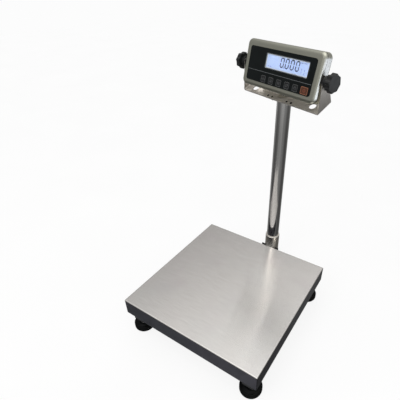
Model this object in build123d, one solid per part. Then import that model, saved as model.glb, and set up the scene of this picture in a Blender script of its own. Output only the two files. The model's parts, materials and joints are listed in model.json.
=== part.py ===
from build123d import *

import math
import os

# Animal weighing scale: a square pan on a load-cell base, with an indicator on a column behind it.
# Millimetres. +Z is up, +Y points to the back. The origin is on the floor, under the middle of the
# whole scale's box.

# Levels above the floor
PAN_TOP = 111.0
PAN_SKIRT = 47.0
FRAME_BOTTOM = 36.0

# Pan
PAN_SIZE = 400.0
PAN_SHEET = 1.5
PAN_BEND = 2.5

# Column, measured from the middle of the pan to the column's axis
COLUMN_SETBACK = 267.0
COLUMN_Y = 203.1
PAN_Y = COLUMN_Y - COLUMN_SETBACK
TUBE_R = 19.0
TUBE_WALL = 1.5
SOCKET_R = 22.5
SOCKET_TOP = 108.0
SOCKET_FLOOR = 4.0
SOCKET_CHAMFER = 0.8
RUNNING_FIT = 0.075
LOOSE_FIT = 0.05

# A shank runs this far into its head, and a cutter this far past its work
LAP = 1.0
EDGE_BREAK = 1.0

# Base frame of square tube
FRAME_TUBE = 30.0
FRAME_WALL = 2.0
FRAME_HALF = 187.0
RAIL_X = FRAME_HALF - FRAME_TUBE / 2
FRAME_TOP = FRAME_BOTTOM + FRAME_TUBE
CROSSBEAM_WIDTH = 60.0
CROSSBEAM_HEIGHT = 20.0
CROSSBEAM_TOP = FRAME_BOTTOM + CROSSBEAM_HEIGHT
PLUG_LIP = 2.5
PLUG_DEPTH = 7.0

# Feet
FOOT_XY = 171.5
FOOT_R = 28.0
FOOT_HEIGHT = 22.0
FOOT_LOWER_ROUND = 8.5
FOOT_UPPER_ROUND = 4.0
FOOT_STUD_R = 5.0
FOOT_STUD_BOTTOM = 8.0
FOOT_STUD_TOP = 58.0
FOOT_COLLAR_R = 12.0
FOOT_COLLAR_HEIGHT = 2.5
BUSH_R = 8.0
BUSH_FLANGE_R = 11.0
BUSH_FLANGE = 2.0
BUSH_HEIGHT = 15.0
LOCK_NUT_FLATS = 17.0
LOCK_NUT_HEIGHT = 6.0

# Load cell and its spacers
CELL_LENGTH = 150.0
CELL_WIDTH = 40.0
CELL_HEIGHT = 25.0
CELL_HOLE_R = 8.5
CELL_HOLE_X = 15.0
CELL_SLOT = 6.0
SPACER_SIZE = 40.0
SPACER_HEIGHT = 3.0
CELL_BOTTOM = CROSSBEAM_TOP + SPACER_HEIGHT
CELL_TOP = CELL_BOTTOM + CELL_HEIGHT
CELL_END_X = CELL_LENGTH / 2 - SPACER_SIZE / 2
CELL_BOLT_R = 3.0
CELL_BOLT_DX = 11.0
CELL_BOLT_DY = 12.0
CELL_BOLT_HEAD_R = 5.0
CELL_BOLT_HEAD = 6.0
CELL_BOLT_GRIP = 13.0

# Spider that carries the pan
SPIDER_BOTTOM = CELL_TOP + SPACER_HEIGHT
SPIDER_PLATE = 5.0
SPIDER_PLATE_X = 252.0
SPIDER_PLATE_Y = 110.0
BEAM_X = 110.0
BEAM_WIDTH = 30.0
BEAM_HEIGHT = 15.0
BEAM_WALL = 1.5
BEAM_LENGTH = 360.0
BEAM_BOTTOM = SPIDER_BOTTOM + SPIDER_PLATE
BEAM_TOP = BEAM_BOTTOM + BEAM_HEIGHT
BUMPER_R = 10.0
BUMPER_Y = 150.0
STOP_R = 4.0
STOP_GAP = 1.6
STOP_BELOW = 14.0
STOP_NUT_FLATS = 13.0
STOP_NUT_HEIGHT = 6.5

# Spirit level on the front tube
LEVEL_R = 13.0
LEVEL_HEIGHT = 10.0
LEVEL_WELL_R = 10.0
LEVEL_WELL_DEPTH = 6.0
LEVEL_WINDOW = 1.5

# Column bracket
BRACKET_FLANGE_X = 110.0
BRACKET_FLANGE = 5.0
BRACKET_ARM_X = 60.0
BRACKET_ARM_BOTTOM = 38.0
BRACKET_ARM_TOP = 60.0
BRACKET_WALL = 3.0
BRACKET_END_Y = -13.0
BRACKET_BOLT_X = 43.0
BRACKET_BOLT_Z = (44.0, 58.0)
BRACKET_BOLT_R = 3.0
BRACKET_BOLT_FLATS = 10.0
BRACKET_BOLT_HEAD = 4.0
BRACKET_BOLT_REACH = 9.0
CLAMP_BOSS_R = 7.0
CLAMP_BOSS_END = 30.0
CLAMP_SCREW_R = 4.0
CLAMP_SCREW_END = 32.0
CLAMP_SCREW_Z = (60.0, 90.0)
CLAMP_GAP = 0.15
CLAMP_KEY_FLATS = 4.0
CLAMP_KEY_DEPTH = 3.0

# Head: yaw of the column, tilt of the indicator and pitch of the yoke's base
HEAD_YAW = -20.0
CASE_TILT = 11.5
YOKE_PITCH = 27.8
PIVOT_Y = -15.1
PIVOT_Z = 624.7

# Yoke, measured from the pivot axis in the pitched frame
YOKE_WIDTH = 270.0
YOKE_SHEET = 2.0
YOKE_DEPTH = 46.0
YOKE_DROP = 59.5
YOKE_CENTRE_Y = -19.8
YOKE_BEND = 4.0
YOKE_EAR_R = 10.5
YOKE_CABLE_HOLE_R = 15.0
YOKE_CABLE_HOLE_SHIFT = 1.5
YOKE_END_HOLE_R = 9.0
YOKE_END_HOLE_X = 102.0
YOKE_END_HOLE_SHIFT = -4.0
YOKE_SCREW_X = 26.6
YOKE_SCREW_SHIFT = 16.0
YOKE_SCREW_R = 2.0
YOKE_SCREW_HEAD_R = 3.5
YOKE_SCREW_HEAD = 4.0
YOKE_SCREW_RECESS = 0.6
YOKE_SPARE_X = 41.6
YOKE_SPARE_R = 1.6
TOP_PLATE_X = 96.0
TOP_PLATE_Y = 42.0
TOP_PLATE = 3.0
YOKE_UNDER = -YOKE_DROP - YOKE_SHEET
PLATE_UNDER = YOKE_UNDER - TOP_PLATE

# Indicator case, measured from the pivot axis in the tilted frame; -Y is its front
CASE_X = 258.0
CASE_Z = 112.0
CASE_CENTRE_Z = 2.5
CASE_CORNER = 14.0
CASE_SHEET = 1.5
FACE_Y = -14.5
FRONT_DEPTH = 8.5
FRONT_ROUND = 8.0
GASKET = 0.8
GASKET_WIDTH = 2.5
GASKET_INSET = 0.5
REAR_FACE_Y = 12.5
REAR_ROUND = 4.0
SEAM_Y = FACE_Y + FRONT_DEPTH
REAR_START_Y = SEAM_Y + GASKET
HUMP_X = 200.0
HUMP_Z = 80.0
HUMP_CORNER = 10.0
HUMP_ROUND = 6.0
HUMP_END_Y = 37.5
CASE_SCREW_X = 116.0
CASE_SCREW_Z = 47.0
CASE_SCREW_R = 2.0
CASE_SCREW_HEAD_R = 4.0
CASE_SCREW_HEAD = 2.6
CASE_SCREW_ROUND = 1.2
CASE_POST_R = 4.0
CASE_SCREW_END_Y = -10.0

# Membrane panel, keys and display
OVERLAY_X = 222.0
OVERLAY_Z = 82.0
OVERLAY_CENTRE_Z = 1.5
OVERLAY = 1.2
OVERLAY_CORNER = 6.0
DISPLAY_X = 140.0
DISPLAY_Z = 33.0
DISPLAY_CORNER = 1.0
DISPLAY_CENTRE = (22.0, 15.0)
WINDOW_GAP = 0.1
WINDOW_SINK = 0.1
LCD_MARGIN = 3.0
LCD_DEPTH = 9.0
KEY_Z = -28.7
KEY_FIRST_X = -45.3
KEY_PITCH = 27.6
KEY_SIZE = (17.0, 16.0)
KEY_CORNER = 2.5
KEY_THICK = 1.1
KEY_PROUD = 0.5
KEY_GAP = 0.3
KEY_ROUND = 0.35
KEY_NAMES = ("zero", "tare", "hold", "unit", "print")
POWER_KEY_X = 94.0
POWER_KEY_SIZE = (22.0, 17.0)

# Inside the case
BOARD_SIZE = (180.0, 1.6, 70.0)
BOARD_Y = 3.0
BOARD_CHIPS = (
    ((40.0, 54.0), 2.0, (-8.0, 6.0)),
    ((62.0, 71.0), 2.4, (14.0, 24.0)),
    ((-86.0, -66.0), 6.0, (-12.0, 12.0)),
)
CAPACITORS = 3
CAPACITOR_R = 4.0
CAPACITOR_TALL = 8.0
CAPACITOR_X = 25.0
CAPACITOR_PITCH = 12.0
CAPACITOR_Z = 28.0
BATTERY_SIZE = (98.0, 20.0, 44.0)
BATTERY_X = -35.0
BATTERY_Y = 14.0
BATTERY_ROUND = 3.0
STRAP = 1.0
STRAP_WIDTH = 16.0

# Pivots and knobs, along the pivot axis
PIVOT_BORE_R = 3.0 + RUNNING_FIT
BOSS_R = 5.0
BOSS_LENGTH = 14.0
WASHER_R = 11.0
WASHER_END_X = 132.9
KNOB_START_X = 135.05
KNOB_HUB_R = 13.0
KNOB_HUB_END_X = 147.0
KNOB_END_X = 160.0
KNOB_R = 21.5
KNOB_LOBES = 8
KNOB_LOBE_R = 8.0
KNOB_ROUND = 1.5
KNOB_STUD_R = 3.0
KNOB_STUD_INNER_X = 117.0
KNOB_STUD_OUTER_X = 152.0

# Cable glands on the back of the case
GLAND_X = (45.0, 75.0)
GLAND_Z = 12.0
GLAND_FLATS = 18.0
GLAND_HEX = 5.0
GLAND_DOME_R = 8.5
GLAND_DOME_R_END = 5.0
GLAND_DOME = 11.0
GLAND_THREAD_R = 6.0
GLAND_THREAD = 9.0
GLAND_BORE_R = 3.0
GLAND_NUT_FLATS = 17.0
GLAND_NUT = 4.0

CORNERS = ((-1, -1, "front_left"), (1, -1, "front_right"), (-1, 1, "rear_left"), (1, 1, "rear_right"))
SIDES = ((-1, "left"), (1, "right"))

PAN_FRAME = Location((0, PAN_Y, 0))
HEAD = Location((0, COLUMN_Y, 0), (0, 0, HEAD_YAW))
YOKE_FRAME = HEAD * Location((0, PIVOT_Y, PIVOT_Z), (YOKE_PITCH, 0, 0))
CASE_FRAME = HEAD * Location((0, PIVOT_Y, PIVOT_Z), (-CASE_TILT, 0, 0))


def block(x, y, z):
    """A box between pairs of limits."""
    centre = Pos((x[0] + x[1]) / 2, (y[0] + y[1]) / 2, (z[0] + z[1]) / 2)
    return centre * Box(x[1] - x[0], y[1] - y[0], z[1] - z[0])


def post(x, y, radius, z):
    """An upright cylinder between two heights."""
    return Pos(x, y, (z[0] + z[1]) / 2) * Cylinder(radius, z[1] - z[0])


def axle(radius, x, y=0.0, z=0.0):
    """A cylinder along X between two limits."""
    return Pos((x[0] + x[1]) / 2, y, z) * Rot(0, 90, 0) * Cylinder(radius, abs(x[1] - x[0]))


def rod(radius, y, x=0.0, z=0.0):
    """A cylinder along Y between two limits."""
    return Pos(x, (y[0] + y[1]) / 2, z) * Rot(90, 0, 0) * Cylinder(radius, y[1] - y[0])


def hexagon(flats, height):
    """An upright hexagonal prism on the XY plane."""
    return extrude(RegularPolygon(flats / 2, 6, major_radius=False), height)


def panel(width, height, corner, y, x=0.0, z=0.0):
    """A rounded rectangle facing Y, between two limits of Y."""
    face = Plane((x, y[0], z), x_dir=(1, 0, 0), z_dir=(0, -1, 0)) * RectangleRounded(width, height, corner)
    return extrude(face, y[0] - y[1])


def group(solids):
    """Separate solids that share one node."""
    return Compound(children=[Solid(s.solid().wrapped) for s in solids])


# Pan ---------------------------------------------------------------------------------------------

def make_pan():
    levels = (PAN_TOP - PAN_SKIRT, PAN_TOP)
    half = PAN_SIZE / 2
    outer = block((-half, half), (-half, half), levels)
    outer = fillet(outer.edges().filter_by(Axis.Z), PAN_BEND)
    outer = fillet(outer.faces().sort_by(Axis.Z)[-1].edges(), PAN_BEND)
    inner_half = half - PAN_SHEET
    inner = block((-inner_half, inner_half), (-inner_half, inner_half), (levels[0], PAN_TOP - PAN_SHEET))
    inner_bend = PAN_BEND - PAN_SHEET
    inner = fillet(inner.edges().filter_by(Axis.Z), inner_bend)
    inner = fillet(inner.faces().sort_by(Axis.Z)[-1].edges(), inner_bend)
    return outer - inner


# Base frame --------------------------------------------------------------------------------------

def make_rail(side):
    x = side * RAIL_X
    half = FRAME_TUBE / 2
    hollow = half - FRAME_WALL
    outer = block((x - half, x + half), (-FRAME_HALF, FRAME_HALF), (FRAME_BOTTOM, FRAME_TOP))
    outer = fillet(outer.edges().filter_by(Axis.Y), FRAME_WALL)
    inner_z = (FRAME_BOTTOM + FRAME_WALL, FRAME_TOP - FRAME_WALL)
    rail = outer - block((x - hollow, x + hollow), (-FRAME_HALF, FRAME_HALF), inner_z)
    for end in (-1, 1):
        hole_z = (FRAME_BOTTOM, FRAME_BOTTOM + FRAME_WALL)
        rail -= post(side * FOOT_XY, end * FOOT_XY, BUSH_R + LOOSE_FIT, hole_z)
    return rail


def make_end_tube(end):
    """The front or rear tube, between the rails."""
    length = RAIL_X - FRAME_TUBE / 2
    y = end * RAIL_X
    half = FRAME_TUBE / 2
    hollow = half - FRAME_WALL
    tube = block((-length, length), (y - half, y + half), (FRAME_BOTTOM, FRAME_TOP))
    inner_z = (FRAME_BOTTOM + FRAME_WALL, FRAME_TOP - FRAME_WALL)
    tube -= block((-length, length), (y - hollow, y + hollow), inner_z)
    for side in (-1, 1):
        tube -= post(side * BEAM_X, y, STOP_R + LOOSE_FIT, (FRAME_TOP - FRAME_WALL, FRAME_TOP))
    if end > 0:
        wall_y = (FRAME_HALF - FRAME_WALL, FRAME_HALF)
        for side in (-1, 1):
            for z in BRACKET_BOLT_Z:
                tube -= rod(BRACKET_BOLT_R + LOOSE_FIT, wall_y, side * BRACKET_BOLT_X, z)
    return tube


def make_crossbeam():
    length = RAIL_X - FRAME_TUBE / 2
    half = CROSSBEAM_WIDTH / 2
    beam = block((-length, length), (-half, half), (FRAME_BOTTOM, CROSSBEAM_TOP))
    hollow = half - FRAME_WALL
    inner_z = (FRAME_BOTTOM + FRAME_WALL, CROSSBEAM_TOP - FRAME_WALL)
    beam -= block((-length, length), (-hollow, hollow), inner_z)
    for x, y in cell_bolt_places(-1):
        beam -= post(x, y, CELL_BOLT_R + LOOSE_FIT, (FRAME_BOTTOM, CROSSBEAM_TOP))
    return beam


def make_rail_end_plugs():
    plugs = []
    half = FRAME_TUBE / 2
    hollow = half - FRAME_WALL
    middle = (FRAME_BOTTOM + FRAME_TOP) / 2
    for side, end, _ in CORNERS:
        lip = Pos(0, PLUG_LIP / 2, 0) * Box(FRAME_TUBE, PLUG_LIP, FRAME_TUBE)
        lip = fillet(lip.edges().filter_by(Axis.Y), FRAME_WALL)
        stem_size = 2 * hollow - 2 * LOOSE_FIT
        plug = lip + Pos(0, -PLUG_DEPTH / 2, 0) * Box(stem_size, PLUG_DEPTH, stem_size)
        turn = 0 if end > 0 else 180
        plugs.append(Pos(side * RAIL_X, end * FRAME_HALF, middle) * Rot(0, 0, turn) * plug)
    return group(plugs)


# Feet --------------------------------------------------------------------------------------------

def make_foot_bush(x, y):
    body = post(x, y, BUSH_R, (FRAME_BOTTOM - BUSH_FLANGE, FRAME_BOTTOM + BUSH_HEIGHT))
    flange = post(x, y, BUSH_FLANGE_R, (FRAME_BOTTOM - BUSH_FLANGE, FRAME_BOTTOM))
    bore_z = (FRAME_BOTTOM - BUSH_FLANGE, FRAME_BOTTOM + BUSH_HEIGHT)
    return body + flange - post(x, y, FOOT_STUD_R + RUNNING_FIT, bore_z)


def make_lock_nut(x, y):
    bottom = FRAME_BOTTOM - BUSH_FLANGE - LOCK_NUT_HEIGHT
    nut = Pos(x, y, bottom) * hexagon(LOCK_NUT_FLATS, LOCK_NUT_HEIGHT)
    return nut - post(x, y, FOOT_STUD_R + RUNNING_FIT, (bottom, bottom + LOCK_NUT_HEIGHT))


def make_foot_pad(x, y):
    pad = post(x, y, FOOT_R, (0, FOOT_HEIGHT))
    pad = fillet(pad.edges().sort_by(Axis.Z)[-1], FOOT_UPPER_ROUND)
    pad = fillet(pad.edges().sort_by(Axis.Z)[0], FOOT_LOWER_ROUND)
    return pad - post(x, y, FOOT_STUD_R + LOOSE_FIT, (FOOT_STUD_BOTTOM, FOOT_HEIGHT))


def make_foot_stud(x, y):
    stud = post(x, y, FOOT_STUD_R, (FOOT_STUD_BOTTOM, FOOT_STUD_TOP))
    stud = chamfer(stud.edges().sort_by(Axis.Z)[-1], EDGE_BREAK)
    return stud + post(x, y, FOOT_COLLAR_R, (FOOT_HEIGHT, FOOT_HEIGHT + FOOT_COLLAR_HEIGHT))


# Load cell and spider ----------------------------------------------------------------------------

def cell_bolt_places(end):
    """Bolt centres at the load cell's fixed (-1) or loaded (+1) end."""
    middle = end * CELL_END_X
    return [(middle + dx * CELL_BOLT_DX, dy * CELL_BOLT_DY) for dx in (-1, 1) for dy in (-1, 1)]


def make_load_cell():
    half = CELL_LENGTH / 2
    width = CELL_WIDTH / 2
    cell = block((-half, half), (-width, width), (CELL_BOTTOM, CELL_TOP))
    middle = (CELL_BOTTOM + CELL_TOP) / 2
    for side in (-1, 1):
        cell -= rod(CELL_HOLE_R, (-width, width), side * CELL_HOLE_X, middle)
    slot_z = (middle - CELL_SLOT / 2, middle + CELL_SLOT / 2)
    cell -= block((-CELL_HOLE_X, CELL_HOLE_X), (-width, width), slot_z)
    for x, y in cell_bolt_places(-1):
        cell -= post(x, y, CELL_BOLT_R + LOOSE_FIT, (CELL_BOTTOM, CELL_BOTTOM + CELL_BOLT_GRIP))
    for x, y in cell_bolt_places(1):
        cell -= post(x, y, CELL_BOLT_R + LOOSE_FIT, (CELL_TOP - CELL_BOLT_GRIP, CELL_TOP))
    return cell


def make_load_cell_spacers():
    spacers = []
    half = SPACER_SIZE / 2
    for end, bottom in ((-1, CROSSBEAM_TOP), (1, CELL_TOP)):
        x = end * CELL_END_X
        levels = (bottom, bottom + SPACER_HEIGHT)
        spacer = block((x - half, x + half), (-half, half), levels)
        for bolt_x, bolt_y in cell_bolt_places(end):
            spacer -= post(bolt_x, bolt_y, CELL_BOLT_R + LOOSE_FIT, levels)
        spacers.append(spacer)
    return group(spacers)


def make_load_cell_bolts():
    bolts = []
    for x, y in cell_bolt_places(-1):
        shank = post(x, y, CELL_BOLT_R, (FRAME_BOTTOM - LAP, CELL_BOTTOM + CELL_BOLT_GRIP - LAP))
        bolts.append(shank + post(x, y, CELL_BOLT_HEAD_R, (FRAME_BOTTOM - CELL_BOLT_HEAD, FRAME_BOTTOM)))
    for x, y in cell_bolt_places(1):
        shank = post(x, y, CELL_BOLT_R, (CELL_TOP - CELL_BOLT_GRIP + LAP, BEAM_BOTTOM + LAP))
        bolts.append(shank + post(x, y, CELL_BOLT_HEAD_R, (BEAM_BOTTOM, BEAM_BOTTOM + CELL_BOLT_HEAD)))
    return group(bolts)


def make_spider_plate():
    x = SPIDER_PLATE_X / 2
    y = SPIDER_PLATE_Y / 2
    plate = block((-x, x), (-y, y), (SPIDER_BOTTOM, BEAM_BOTTOM))
    for bolt_x, bolt_y in cell_bolt_places(1):
        plate -= post(bolt_x, bolt_y, CELL_BOLT_R + LOOSE_FIT, (SPIDER_BOTTOM, BEAM_BOTTOM))
    return plate


def make_spider_beam(side):
    x = side * BEAM_X
    half = BEAM_WIDTH / 2
    hollow = half - BEAM_WALL
    length = BEAM_LENGTH / 2
    beam = block((x - half, x + half), (-length, length), (BEAM_BOTTOM, BEAM_TOP))
    inner_z = (BEAM_BOTTOM + BEAM_WALL, BEAM_TOP - BEAM_WALL)
    return beam - block((x - hollow, x + hollow), (-length, length), inner_z)


def make_pan_bumpers():
    levels = (BEAM_TOP, PAN_TOP - PAN_SHEET)
    return group([post(x * BEAM_X, y * BUMPER_Y, BUMPER_R, levels) for x, y, _ in CORNERS])


def make_overload_stops():
    levels = (FRAME_TOP - STOP_BELOW, BEAM_BOTTOM - STOP_GAP)
    return group([post(x * BEAM_X, y * RAIL_X, STOP_R, levels) for x, y, _ in CORNERS])


def make_overload_lock_nuts():
    nuts = []
    for side, end, _ in CORNERS:
        x = side * BEAM_X
        y = end * RAIL_X
        nut = Pos(x, y, FRAME_TOP) * hexagon(STOP_NUT_FLATS, STOP_NUT_HEIGHT)
        nuts.append(nut - post(x, y, STOP_R + LOOSE_FIT, (FRAME_TOP, FRAME_TOP + STOP_NUT_HEIGHT)))
    return group(nuts)


def make_level_body():
    top = FRAME_TOP + LEVEL_HEIGHT
    body = post(0, -RAIL_X, LEVEL_R, (FRAME_TOP, top))
    body = chamfer(body.edges().sort_by(Axis.Z)[-1], EDGE_BREAK)
    return body - post(0, -RAIL_X, LEVEL_WELL_R, (top - LEVEL_WELL_DEPTH, top))


def make_level_window():
    top = FRAME_TOP + LEVEL_HEIGHT
    return post(0, -RAIL_X, LEVEL_WELL_R - LOOSE_FIT, (top - LEVEL_WINDOW, top))


# Column bracket and socket, in the pan's frame ---------------------------------------------------

def make_column_bracket():
    half = BRACKET_FLANGE_X / 2
    flange_y = (FRAME_HALF, FRAME_HALF + BRACKET_FLANGE)
    flange = block((-half, half), flange_y, (FRAME_BOTTOM, FRAME_TOP))
    for side in (-1, 1):
        for z in BRACKET_BOLT_Z:
            flange -= rod(BRACKET_BOLT_R + LOOSE_FIT, flange_y, side * BRACKET_BOLT_X, z)
    arm_half = BRACKET_ARM_X / 2
    arm_y = (flange_y[1], COLUMN_SETBACK + BRACKET_END_Y)
    arm = block((-arm_half, arm_half), arm_y, (BRACKET_ARM_BOTTOM, BRACKET_ARM_TOP))
    arm_hollow = arm_half - BRACKET_WALL
    hollow_z = (BRACKET_ARM_BOTTOM + BRACKET_WALL, BRACKET_ARM_TOP - BRACKET_WALL)
    arm -= block((-arm_hollow, arm_hollow), arm_y, hollow_z)
    cope = post(0, COLUMN_SETBACK, SOCKET_R, (BRACKET_ARM_BOTTOM, BRACKET_ARM_TOP))
    return flange + (arm - cope)


def make_bracket_bolts():
    bolts = []
    outer = FRAME_HALF + BRACKET_FLANGE
    for side in (-1, 1):
        for z in BRACKET_BOLT_Z:
            x = side * BRACKET_BOLT_X
            head = Pos(x, outer, z) * Rot(-90, 0, 0) * hexagon(BRACKET_BOLT_FLATS, BRACKET_BOLT_HEAD)
            bolts.append(head + rod(BRACKET_BOLT_R, (outer - BRACKET_BOLT_REACH, outer + LAP), x, z))
    return group(bolts)


def make_column_socket():
    levels = (BRACKET_ARM_BOTTOM, SOCKET_TOP)
    socket = post(0, COLUMN_SETBACK, SOCKET_R, levels)
    socket = chamfer(socket.edges().sort_by(Axis.Z)[-1], SOCKET_CHAMFER)
    for z in CLAMP_SCREW_Z:
        boss_y = (COLUMN_SETBACK + TUBE_R, COLUMN_SETBACK + CLAMP_BOSS_END)
        socket += rod(CLAMP_BOSS_R, boss_y, 0, z)
    bore_r = TUBE_R + RUNNING_FIT
    socket -= post(0, COLUMN_SETBACK, bore_r, (BRACKET_ARM_BOTTOM + SOCKET_FLOOR, SOCKET_TOP))
    socket -= post(0, COLUMN_SETBACK, TUBE_R / 2, levels)
    for z in CLAMP_SCREW_Z:
        hole_y = (COLUMN_SETBACK + TUBE_R / 2, COLUMN_SETBACK + CLAMP_BOSS_END)
        socket -= rod(CLAMP_SCREW_R + LOOSE_FIT, hole_y, 0, z)
    return socket


def make_clamp_screws():
    screws = []
    tip = COLUMN_SETBACK + TUBE_R + CLAMP_GAP
    end = COLUMN_SETBACK + CLAMP_SCREW_END
    for z in CLAMP_SCREW_Z:
        screw = rod(CLAMP_SCREW_R, (tip, end), 0, z)
        key = Pos(0, end, z) * Rot(90, 0, 0) * hexagon(CLAMP_KEY_FLATS, CLAMP_KEY_DEPTH)
        screws.append(screw - key)
    return group(screws)


# Column and yoke ---------------------------------------------------------------------------------

def make_column_tube():
    """In the scale's frame: the tube stands upright and its top is cut to the yoke's pitch."""
    bottom = BRACKET_ARM_BOTTOM + SOCKET_FLOOR + LOOSE_FIT
    tube = post(0, COLUMN_Y, TUBE_R, (bottom, PIVOT_Z))
    tube -= post(0, COLUMN_Y, TUBE_R - TUBE_WALL, (bottom, PIVOT_Z))
    reach = YOKE_WIDTH / 2
    return tube - YOKE_FRAME * block((-reach, reach), (-reach, reach), (PLATE_UNDER, reach))


def make_top_plate():
    """Welded on the column: it carries the yoke."""
    half_x = TOP_PLATE_X / 2
    y = (YOKE_CENTRE_Y - TOP_PLATE_Y / 2, YOKE_CENTRE_Y + TOP_PLATE_Y / 2)
    levels = (PLATE_UNDER, YOKE_UNDER)
    plate = block((-half_x, half_x), y, levels)
    plate -= post(0, YOKE_CENTRE_Y + YOKE_CABLE_HOLE_SHIFT, YOKE_CABLE_HOLE_R, levels)
    for x, screw_y in yoke_screw_places():
        plate -= post(x, screw_y, YOKE_SCREW_R + LOOSE_FIT, levels)
    return plate


def yoke_screw_places():
    return [(x * YOKE_SCREW_X, YOKE_CENTRE_Y + y * YOKE_SCREW_SHIFT) for x, y, _ in CORNERS]


def tangent_point(y, z, radius, side):
    """Where the line from (y, z) touches a circle about the pivot, on one side of it."""
    distance = math.hypot(y, z)
    angle = math.atan2(z, y) + side * math.acos(radius / distance)
    return (radius * math.cos(angle), radius * math.sin(angle))


def make_yoke():
    """Bent sheet: a U across X, trimmed to its arms' side outline."""
    half = YOKE_WIDTH / 2
    top = YOKE_EAR_R
    reach = (-YOKE_WIDTH / 4, YOKE_WIDTH / 4)
    outer = block((-half, half), reach, (YOKE_UNDER, top))
    outer = fillet(outer.edges().filter_by(Axis.Y).group_by(Axis.Z)[0], YOKE_BEND)
    inner_half = half - YOKE_SHEET
    inner = block((-inner_half, inner_half), reach, (-YOKE_DROP, top))
    inner = fillet(inner.edges().filter_by(Axis.Y).group_by(Axis.Z)[0], YOKE_BEND - YOKE_SHEET)
    front_y = YOKE_CENTRE_Y - YOKE_DEPTH / 2
    rear_y = YOKE_CENTRE_Y + YOKE_DEPTH / 2
    outline = make_hull(
        [Edge.make_line((front_y, YOKE_UNDER), (rear_y, YOKE_UNDER)), Edge.make_circle(YOKE_EAR_R)]
    )
    sides = extrude(Plane.YZ * outline, half, both=True)
    yoke = (outer - inner) & sides
    levels = (YOKE_UNDER, -YOKE_DROP)
    yoke -= post(0, YOKE_CENTRE_Y + YOKE_CABLE_HOLE_SHIFT, YOKE_CABLE_HOLE_R, levels)
    for x, y in yoke_screw_places():
        yoke -= post(x, y, YOKE_SCREW_R + LOOSE_FIT, levels)
    for side in (-1, 1):
        front_row_y = YOKE_CENTRE_Y - YOKE_SCREW_SHIFT
        yoke -= post(side * YOKE_SPARE_X, front_row_y, YOKE_SPARE_R, levels)
        yoke -= post(side * YOKE_END_HOLE_X, YOKE_CENTRE_Y + YOKE_END_HOLE_SHIFT, YOKE_END_HOLE_R, levels)
        yoke -= axle(PIVOT_BORE_R, (side * inner_half, side * half))
    return yoke


def make_yoke_screws():
    screws = []
    for x, y in yoke_screw_places():
        shank = post(x, y, YOKE_SCREW_R, (PLATE_UNDER - LAP, -YOKE_DROP - YOKE_SCREW_RECESS))
        screws.append(shank + post(x, y, YOKE_SCREW_HEAD_R, (PLATE_UNDER - YOKE_SCREW_HEAD, PLATE_UNDER)))
    return group(screws)


# Indicator, in the case's frame ------------------------------------------------------------------

def case_screw_places():
    across = (-CASE_SCREW_X, 0, CASE_SCREW_X)
    return [(x, CASE_CENTRE_Z + z * CASE_SCREW_Z) for x in across for z in (-1, 1)]


def make_front_shell():
    outer = panel(CASE_X, CASE_Z, CASE_CORNER, (FACE_Y, SEAM_Y), z=CASE_CENTRE_Z)
    outer = fillet(outer.faces().sort_by(Axis.Y)[0].edges(), FRONT_ROUND)
    width = CASE_X - 2 * CASE_SHEET
    height = CASE_Z - 2 * CASE_SHEET
    inner_y = (FACE_Y + CASE_SHEET, SEAM_Y)
    inner = panel(width, height, CASE_CORNER - CASE_SHEET, inner_y, z=CASE_CENTRE_Z)
    inner = fillet(inner.faces().sort_by(Axis.Y)[0].edges(), FRONT_ROUND - CASE_SHEET)
    shell = outer - inner
    shell -= panel(DISPLAY_X, DISPLAY_Z, DISPLAY_CORNER, (FACE_Y, inner_y[0]), *DISPLAY_CENTRE)
    for x, z in case_screw_places():
        shell += rod(CASE_POST_R, (FACE_Y + CASE_SHEET, SEAM_Y), x, z)
        shell -= rod(CASE_SCREW_R + LOOSE_FIT, (CASE_SCREW_END_Y, SEAM_Y), x, z)
    return shell


def make_case_gasket():
    width = CASE_X - 2 * GASKET_INSET
    height = CASE_Z - 2 * GASKET_INSET
    y = (SEAM_Y, REAR_START_Y)
    ring = panel(width, height, CASE_CORNER - GASKET_INSET, y, z=CASE_CENTRE_Z)
    corner = CASE_CORNER - GASKET_INSET - GASKET_WIDTH
    return ring - panel(width - 2 * GASKET_WIDTH, height - 2 * GASKET_WIDTH, corner, y, z=CASE_CENTRE_Z)


def make_rear_shell():
    outer = panel(CASE_X, CASE_Z, CASE_CORNER, (REAR_START_Y, REAR_FACE_Y), z=CASE_CENTRE_Z)
    outer = fillet(outer.faces().sort_by(Axis.Y)[-1].edges(), REAR_ROUND)
    hump = panel(HUMP_X, HUMP_Z, HUMP_CORNER, (REAR_START_Y, HUMP_END_Y), z=CASE_CENTRE_Z)
    hump = fillet(hump.faces().sort_by(Axis.Y)[-1].edges(), HUMP_ROUND)
    inset = 2 * CASE_SHEET
    inner_y = (REAR_START_Y, REAR_FACE_Y - CASE_SHEET)
    hollow = panel(CASE_X - inset, CASE_Z - inset, CASE_CORNER - CASE_SHEET, inner_y, z=CASE_CENTRE_Z)
    hollow = fillet(hollow.faces().sort_by(Axis.Y)[-1].edges(), REAR_ROUND - CASE_SHEET)
    hump_y = (REAR_START_Y, HUMP_END_Y - CASE_SHEET)
    hump_hollow = panel(HUMP_X - inset, HUMP_Z - inset, HUMP_CORNER - CASE_SHEET, hump_y, z=CASE_CENTRE_Z)
    hump_hollow = fillet(hump_hollow.faces().sort_by(Axis.Y)[-1].edges(), HUMP_ROUND - CASE_SHEET)
    shell = outer + hump - hollow - hump_hollow
    for x, z in case_screw_places():
        shell -= rod(CASE_SCREW_R + LOOSE_FIT, (REAR_FACE_Y - CASE_SHEET, REAR_FACE_Y), x, z)
    for side in (-1, 1):
        shell -= axle(PIVOT_BORE_R, (side * (CASE_X / 2 - CASE_SHEET), side * CASE_X / 2))
    for x in GLAND_X:
        shell -= rod(GLAND_THREAD_R + LOOSE_FIT, (HUMP_END_Y - CASE_SHEET, HUMP_END_Y), x, GLAND_Z)
    return shell


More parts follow.
